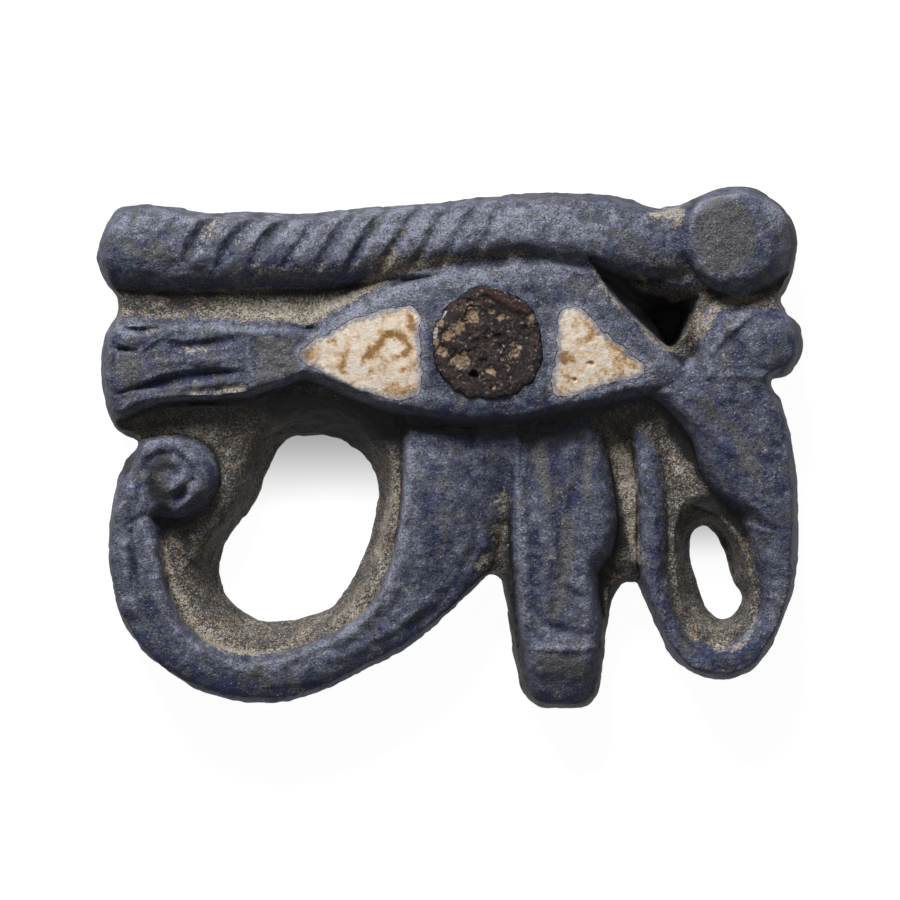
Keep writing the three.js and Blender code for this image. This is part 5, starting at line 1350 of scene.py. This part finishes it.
def body_columns(plate, swell, seed):
    """What the faience's finish reads at the vertices: earth between the members, sand, fading with painted
    highlights and painted shade, wear of what stands out, worn paste, and the dark dirt and painted shade of
    fine hollows and of deep places."""
    fx, fy = plate.at[: plate.face_count, :2].T
    carved, ground = carved_face(fx, fy) + swell[: plate.face_count], carved_ground(fx, fy)
    outlines = (EYE, BAR, LOOP_CREST, SMALL_CREST)
    lids, bar, loop, small = (inside(fx, fy, loop_of(table), 3) for table in outlines)
    soil = ramp(carved - ground, 0.8, 0.15) * ramp(np.maximum(lids, bar), 0.4, -0.5)
    wall = plate.along_walls(ramp(np.maximum(loop, small), 0, 0.5))
    fine, broad = (plate.hollow(carved, reach) * (1 - 0.8 * wall) for reach in HOLLOW_REACHES)
    x, y, z = plate.at.T
    stones = np.max([s(x, y) for s in plate.sockets[:2]], axis=0)
    # Paler where bleached and as painted highlights, bluer where fresh and as painted shade, and paler next
    # to the stone slips
    faded_and_painted_light = strokes(x, y, FADED_AND_HIGHLIT_STROKES) - strokes(x, y, FRESH_AND_SHADED_STROKES)
    sand = strokes(x, y, SOIL_STROKES) + 0.12 * wall + 0.35 * noise(x, y, z, 1.1, seed + 3)
    return {
        "soil": plate.along_walls(soil),
        "faded_and_painted_light": faded_and_painted_light + 1.2 * ramp(stones, -0.65, 0.05),
        "sand": np.clip(sand, 0, 1),
        "wear": np.clip(0.5 - 3.0 * fine - 0.6 * broad, 0, 1),
        # hollow and deep: dark dirt and painted shade of fine hollows, of broad hollows and of the listed
        # dark strokes
        "hollow": np.clip(3.0 * fine, 0, 1),
        "worn": np.maximum(strokes(x, y, BARE_STROKES), 0.9 * ramp(disc_flat(x, y), 1.1, 0.85)),
        "deep": np.clip(0.8 * broad, 0, 1) + strokes(x, y, GRIME_AND_SHADE_STROKES),
    }


class AMULET_OT_body(Maker, bpy.types.Operator):
    """Make the openwork faience body with its sockets"""

    bl_idname = "amulet.body"
    bl_label = "Faience Body"

    def execute(self, context):
        sizes, colours = self.of(context)
        sockets = [socket_plan(table) for table in (*CELLS.values(), PUPIL)]
        floor = node_heights("pupil_bed")[0] - SOCKET_DROP
        span, step = span_of(loop_of(SILHOUETTE)), sizes.mesh_step / MM
        plate = Plate(span, step, amulet_plan, amulet_relief, 0.0, BODY_SWING, BODY_TUCK, sockets, floor)
        swell = swell_body(plate, sizes.grain_height / MM, sizes.seed)
        columns = body_columns(plate, swell, sizes.seed)
        plate.piece("amulet_body_faience", faience_finish(colours), "amulet_body", "faience", **columns)
        return {"FINISHED"}


class AMULET_OT_cells(Maker, bpy.types.Operator):
    """Make the two stained slips of pale stone"""

    bl_idname = "amulet.cells"
    bl_label = "Stone Slips"

    def execute(self, context):
        sizes, colours = self.of(context)
        material = stone_finish(colours)

        def face(x, y):
            """The carved face, a little lower, less the pits."""
            return carved_face(x, y) - sizes.inlay_sink / MM - strokes(x, y, STONE_PITS)

        for name, table in CELLS.items():
            plan = socket_plan(table, sizes.inlay_gap / MM)
            base, _ = node_heights(name + "_inlay")
            span, step = span_of(loop_of(table)), sizes.inlay_step / MM
            plate = Plate(span, step, plan, face, base, STONE_SWING, INLAY_TUCK)
            plate.swell_face(STONE_SWELL, sizes.seed)
            x, y, z = plate.at.T
            wx = x + STAIN_WANDER * noise(x, y, z, STAIN_WANDER_SIZE, sizes.seed + 8)
            wy = y + STAIN_WANDER * noise(x, y, z, STAIN_WANDER_SIZE, sizes.seed + 9)
            plate.piece(
                name + "_stone", material, name + "_inlay", "pale_stone",
                stain=strokes(wx, wy, STONE_STAINS, STAIN_SPREAD), edge=ramp(plan(x, y), 0.75, 0.0))
        return {"FINISHED"}


def bubbled(x, y, seed):
    """How deep the pupil's bubbles are, and how much earth lies in them, with wandering rims."""
    u, v = photo(x, y)
    wander = 1 + rough(x, y, x * 0, RIM_WANDER, seed)
    depth, fill = np.zeros(len(u)), np.zeros(len(u))
    for bubble_u, bubble_v, radius, deep, filled in PUPIL_BUBBLES:
        out = np.hypot(u - bubble_u, v - bubble_v) / radius * wander
        depth += BUBBLE_DEPTH_SHARE * deep * np.clip(1 - out**2, 0, 1) ** BUBBLE_POWER
        fill = np.maximum(fill, filled * ramp(out, 0.95, 0.55))
    return depth, fill


class AMULET_OT_pupil(Maker, bpy.types.Operator):
    """Make the pupil of bubbly dark glass"""

    bl_idname = "amulet.pupil"
    bl_label = "Glass Pupil"

    def execute(self, context):
        sizes, colours = self.of(context)
        base, top = node_heights("pupil_inlay")
        plan = socket_plan(PUPIL, sizes.inlay_gap / MM)

        def face(x, y):
            """A level face with a worn edge, lower to the right, with its ridge and bubbles."""
            worn = GLASS_WEAR * (1 - np.clip(plan(x, y) / GLASS_WEAR_WIDTH, 0, 1)) ** 2
            height = top - GLASS_SINK - worn - GLASS_FALL * ramp(photo(x, y)[0], *GLASS_FALL_COLUMNS)
            return height + strokes(x, y, PUPIL_RIDGE) - bubbled(x, y, sizes.seed)[0]

        span, step = span_of(loop_of(PUPIL)), sizes.inlay_step / MM
        plate = Plate(span, step, plan, face, base, GLASS_SWING, INLAY_TUCK)
        plate.swell_face(GLASS_SWELL, sizes.seed)
        x, y, _ = plate.at.T
        fill, ridge = bubbled(x, y, sizes.seed)[1], 5 * strokes(x, y, PUPIL_RIDGE)
        plate.piece(
            "pupil_glass", glass_finish(colours), "pupil_inlay", "dark_glass",
            fill=fill, ridge=ridge, chip=strokes(x, y, PUPIL_CHIPS_AND_GLINTS))
        return {"FINISHED"}


def paste_face(top, seed):
    """The face of a bed of paste: uneven, a little under its node's top."""
    return lambda x, y: top - PASTE_SINK + rough(x, y, x * 0, PASTE_SWELL, seed)


class AMULET_OT_beds(Maker, bpy.types.Operator):
    """Make the setting paste under the three inlays"""

    bl_idname = "amulet.beds"
    bl_label = "Setting Paste"

    def execute(self, context):
        sizes, colours = self.of(context)
        material = paste_finish(colours)
        for name, table in {**CELLS, "pupil": PUPIL}.items():
            base, top = node_heights(name + "_bed")
            span, face = span_of(loop_of(table)), paste_face(top, sizes.seed)
            plan = socket_plan(table, PASTE_GAP)
            plate = Plate(span, PASTE_STEP, plan, face, base, PASTE_SWING, PASTE_TUCK, rows=4)
            plate.piece(name + "_paste", material, name + "_bed", "plaster")
        return {"FINISHED"}


class AMULET_OT_stage(Maker, bpy.types.Operator):
    """Make the floor, the lamp, the white world and the camera"""

    bl_idname = "amulet.stage"
    bl_label = "Stage"

    def execute(self, context):
        stage = context.scene.amulet_stage
        white_world(stage.sky)
        floor_sheet()
        lamp("key", stage.key_power, LAMP_PLACE, LAMP_SIZE)
        camera = bpy.data.objects.new("camera", bpy.data.cameras.new("camera"))
        bpy.context.collection.objects.link(camera)
        camera.data.lens, camera.data.sensor_width = stage.lens, SENSOR_WIDTH
        width = PHOTO_SIZE * PX * MM
        away = width * stage.lens / SENSOR_WIDTH
        x, y = on_amulet(PHOTO_SIZE / 2, PHOTO_SIZE / 2)
        camera.location = (x * MM, y * MM, LOOKED_AT + away)
        camera.data.clip_start, camera.data.clip_end = away / 10, away * 10
        context.scene.camera = camera
        context.scene.view_settings.view_transform = "Standard"
        return {"FINISHED"}


def seen_by_eye(tree):
    """1 where a ray comes from the camera, a reflection or a see-through part, and 0 for other light."""
    rays = tree.nodes.new("ShaderNodeLightPath")
    total = rays.outputs["Is Camera Ray"]
    for name in ("Is Glossy Ray", "Is Transmission Ray"):
        node = tree.nodes.new("ShaderNodeMath")
        node.operation = "MAXIMUM"
        tree.links.new(total, node.inputs[0])
        tree.links.new(rays.outputs[name], node.inputs[1])
        total = node.outputs[0]
    return total


def white_world(strength):
    """A white world, at full strength where it is seen and at its own strength where it lights."""
    world = bpy.data.worlds.new("world")
    bpy.context.scene.world = world
    world.use_nodes = True
    tree = world.node_tree
    back = tree.nodes["Background"]
    back.inputs["Color"].default_value = (1, 1, 1, 1)
    level = tree.nodes.new("ShaderNodeMapRange")
    tree.links.new(seen_by_eye(tree), level.inputs["Value"])
    level.inputs["To Min"].default_value = strength
    level.inputs["To Max"].default_value = 1.0
    tree.links.new(level.outputs[0], back.inputs["Strength"])


def painted_loop_shade(f, u, v, half_u, half_v, depth):
    """How much the floor is painted darker under a loop, as painted shade: within its ellipse, and more and
    more towards the brow.
    """
    x, y = on_amulet(u, v)
    scale = (1 / (half_u * PX), 1 / (half_v * PX), 0)
    out = f.tree.nodes.new("ShaderNodeVectorMath")
    out.operation = "MULTIPLY_ADD"
    f.join(f.place, out.inputs[0])
    out.inputs[1].default_value, out.inputs[2].default_value = scale, (-x * scale[0], -y * scale[1], 0)
    length = f.tree.nodes.new("ShaderNodeVectorMath")
    length.operation = "LENGTH"
    f.join(out.outputs[0], length.inputs[0])
    apart = f.tree.nodes.new("ShaderNodeSeparateXYZ")
    f.join(out.outputs[0], apart.inputs[0])
    within = f.step(length.outputs["Value"], 1.0, 0.97)
    return f.sum("MULTIPLY", within, f.step(apart.outputs[1], 0.1, 0.95, 0.0, depth))


def floor_sheet():
    """A wide pale sheet under the amulet, white to the eye, on which the amulet's own shadow shows faintly.
    Under the two loops its white is painted darker towards the brow, as deep shade would leave it."""
    mesh, r = bpy.data.meshes.new("floor"), FLOOR_REACH
    mesh.from_pydata([(-r, -r, 0), (r, -r, 0), (r, r, 0), (-r, r, 0)], [], [(0, 1, 2, 3)])
    f = Finish("floor", 1.0, 0.0)
    white = FLOOR_WHITE
    for shade in PAINTED_LOOP_SHADES:
        white = f.sum("SUBTRACT", white, painted_loop_shade(f, *shade))
    f.join([FLOOR_GREY] * 3, f.surface.inputs["Base Color"])
    f.join((1, 1, 1), f.surface.inputs["Emission Color"])
    f.join(f.sum("MULTIPLY", seen_by_eye(f.tree), white), f.surface.inputs["Emission Strength"])
    mesh.materials.append(f.material)
    floor = bpy.data.objects.new("floor", mesh)
    bpy.context.collection.objects.link(floor)


def lamp(name, power, place, size):
    """A square area lamp that looks at the amulet."""
    light = bpy.data.lights.new(name, "AREA")
    light.energy, light.size = power, size
    made = bpy.data.objects.new(name, light)
    bpy.context.collection.objects.link(made)
    made.location = place
    made.rotation_euler = (Vector((0, 0, LOOKED_AT)) - Vector(place)).to_track_quat("-Z", "Y").to_euler()


class AMULET_PT_panel(bpy.types.Panel):
    """The amulet's pieces, sizes and colours"""

    bl_idname = "AMULET_PT_panel"
    bl_label = "Wedjat Eye Amulet"
    bl_space_type = "VIEW_3D"
    bl_region_type = "UI"
    bl_category = "Amulet"

    def draw(self, context):
        for maker in OPERATORS:
            self.layout.operator(maker.bl_idname)
        for name, group in GROUPS.items():
            box = self.layout.box()
            for key in group.__annotations__:
                box.prop(getattr(context.scene, name), key)


OPERATORS = (AMULET_OT_stage, AMULET_OT_body, AMULET_OT_cells, AMULET_OT_pupil, AMULET_OT_beds)
GROUPS = {"amulet_sizes": AmuletSizes, "amulet_colours": AmuletColours, "amulet_stage": AmuletStage}


def register():
    """Adds the classes, and one group of settings of each kind to the scene."""
    for made in (*GROUPS.values(), *OPERATORS, AMULET_PT_panel):
        bpy.utils.register_class(made)
    for name, group in GROUPS.items():
        setattr(bpy.types.Scene, name, PointerProperty(type=group))


def unregister():
    """Takes the settings and classes away again."""
    for name in GROUPS:
        delattr(bpy.types.Scene, name)
    for made in (AMULET_PT_panel, *OPERATORS, *GROUPS.values()):
        bpy.utils.unregister_class(made)


def main():
    """Makes every piece and the stage."""
    register()
    for maker in OPERATORS:
        group, call = maker.bl_idname.split(".")
        getattr(getattr(bpy.ops, group), call)()


if __name__ == "__main__":
    main()
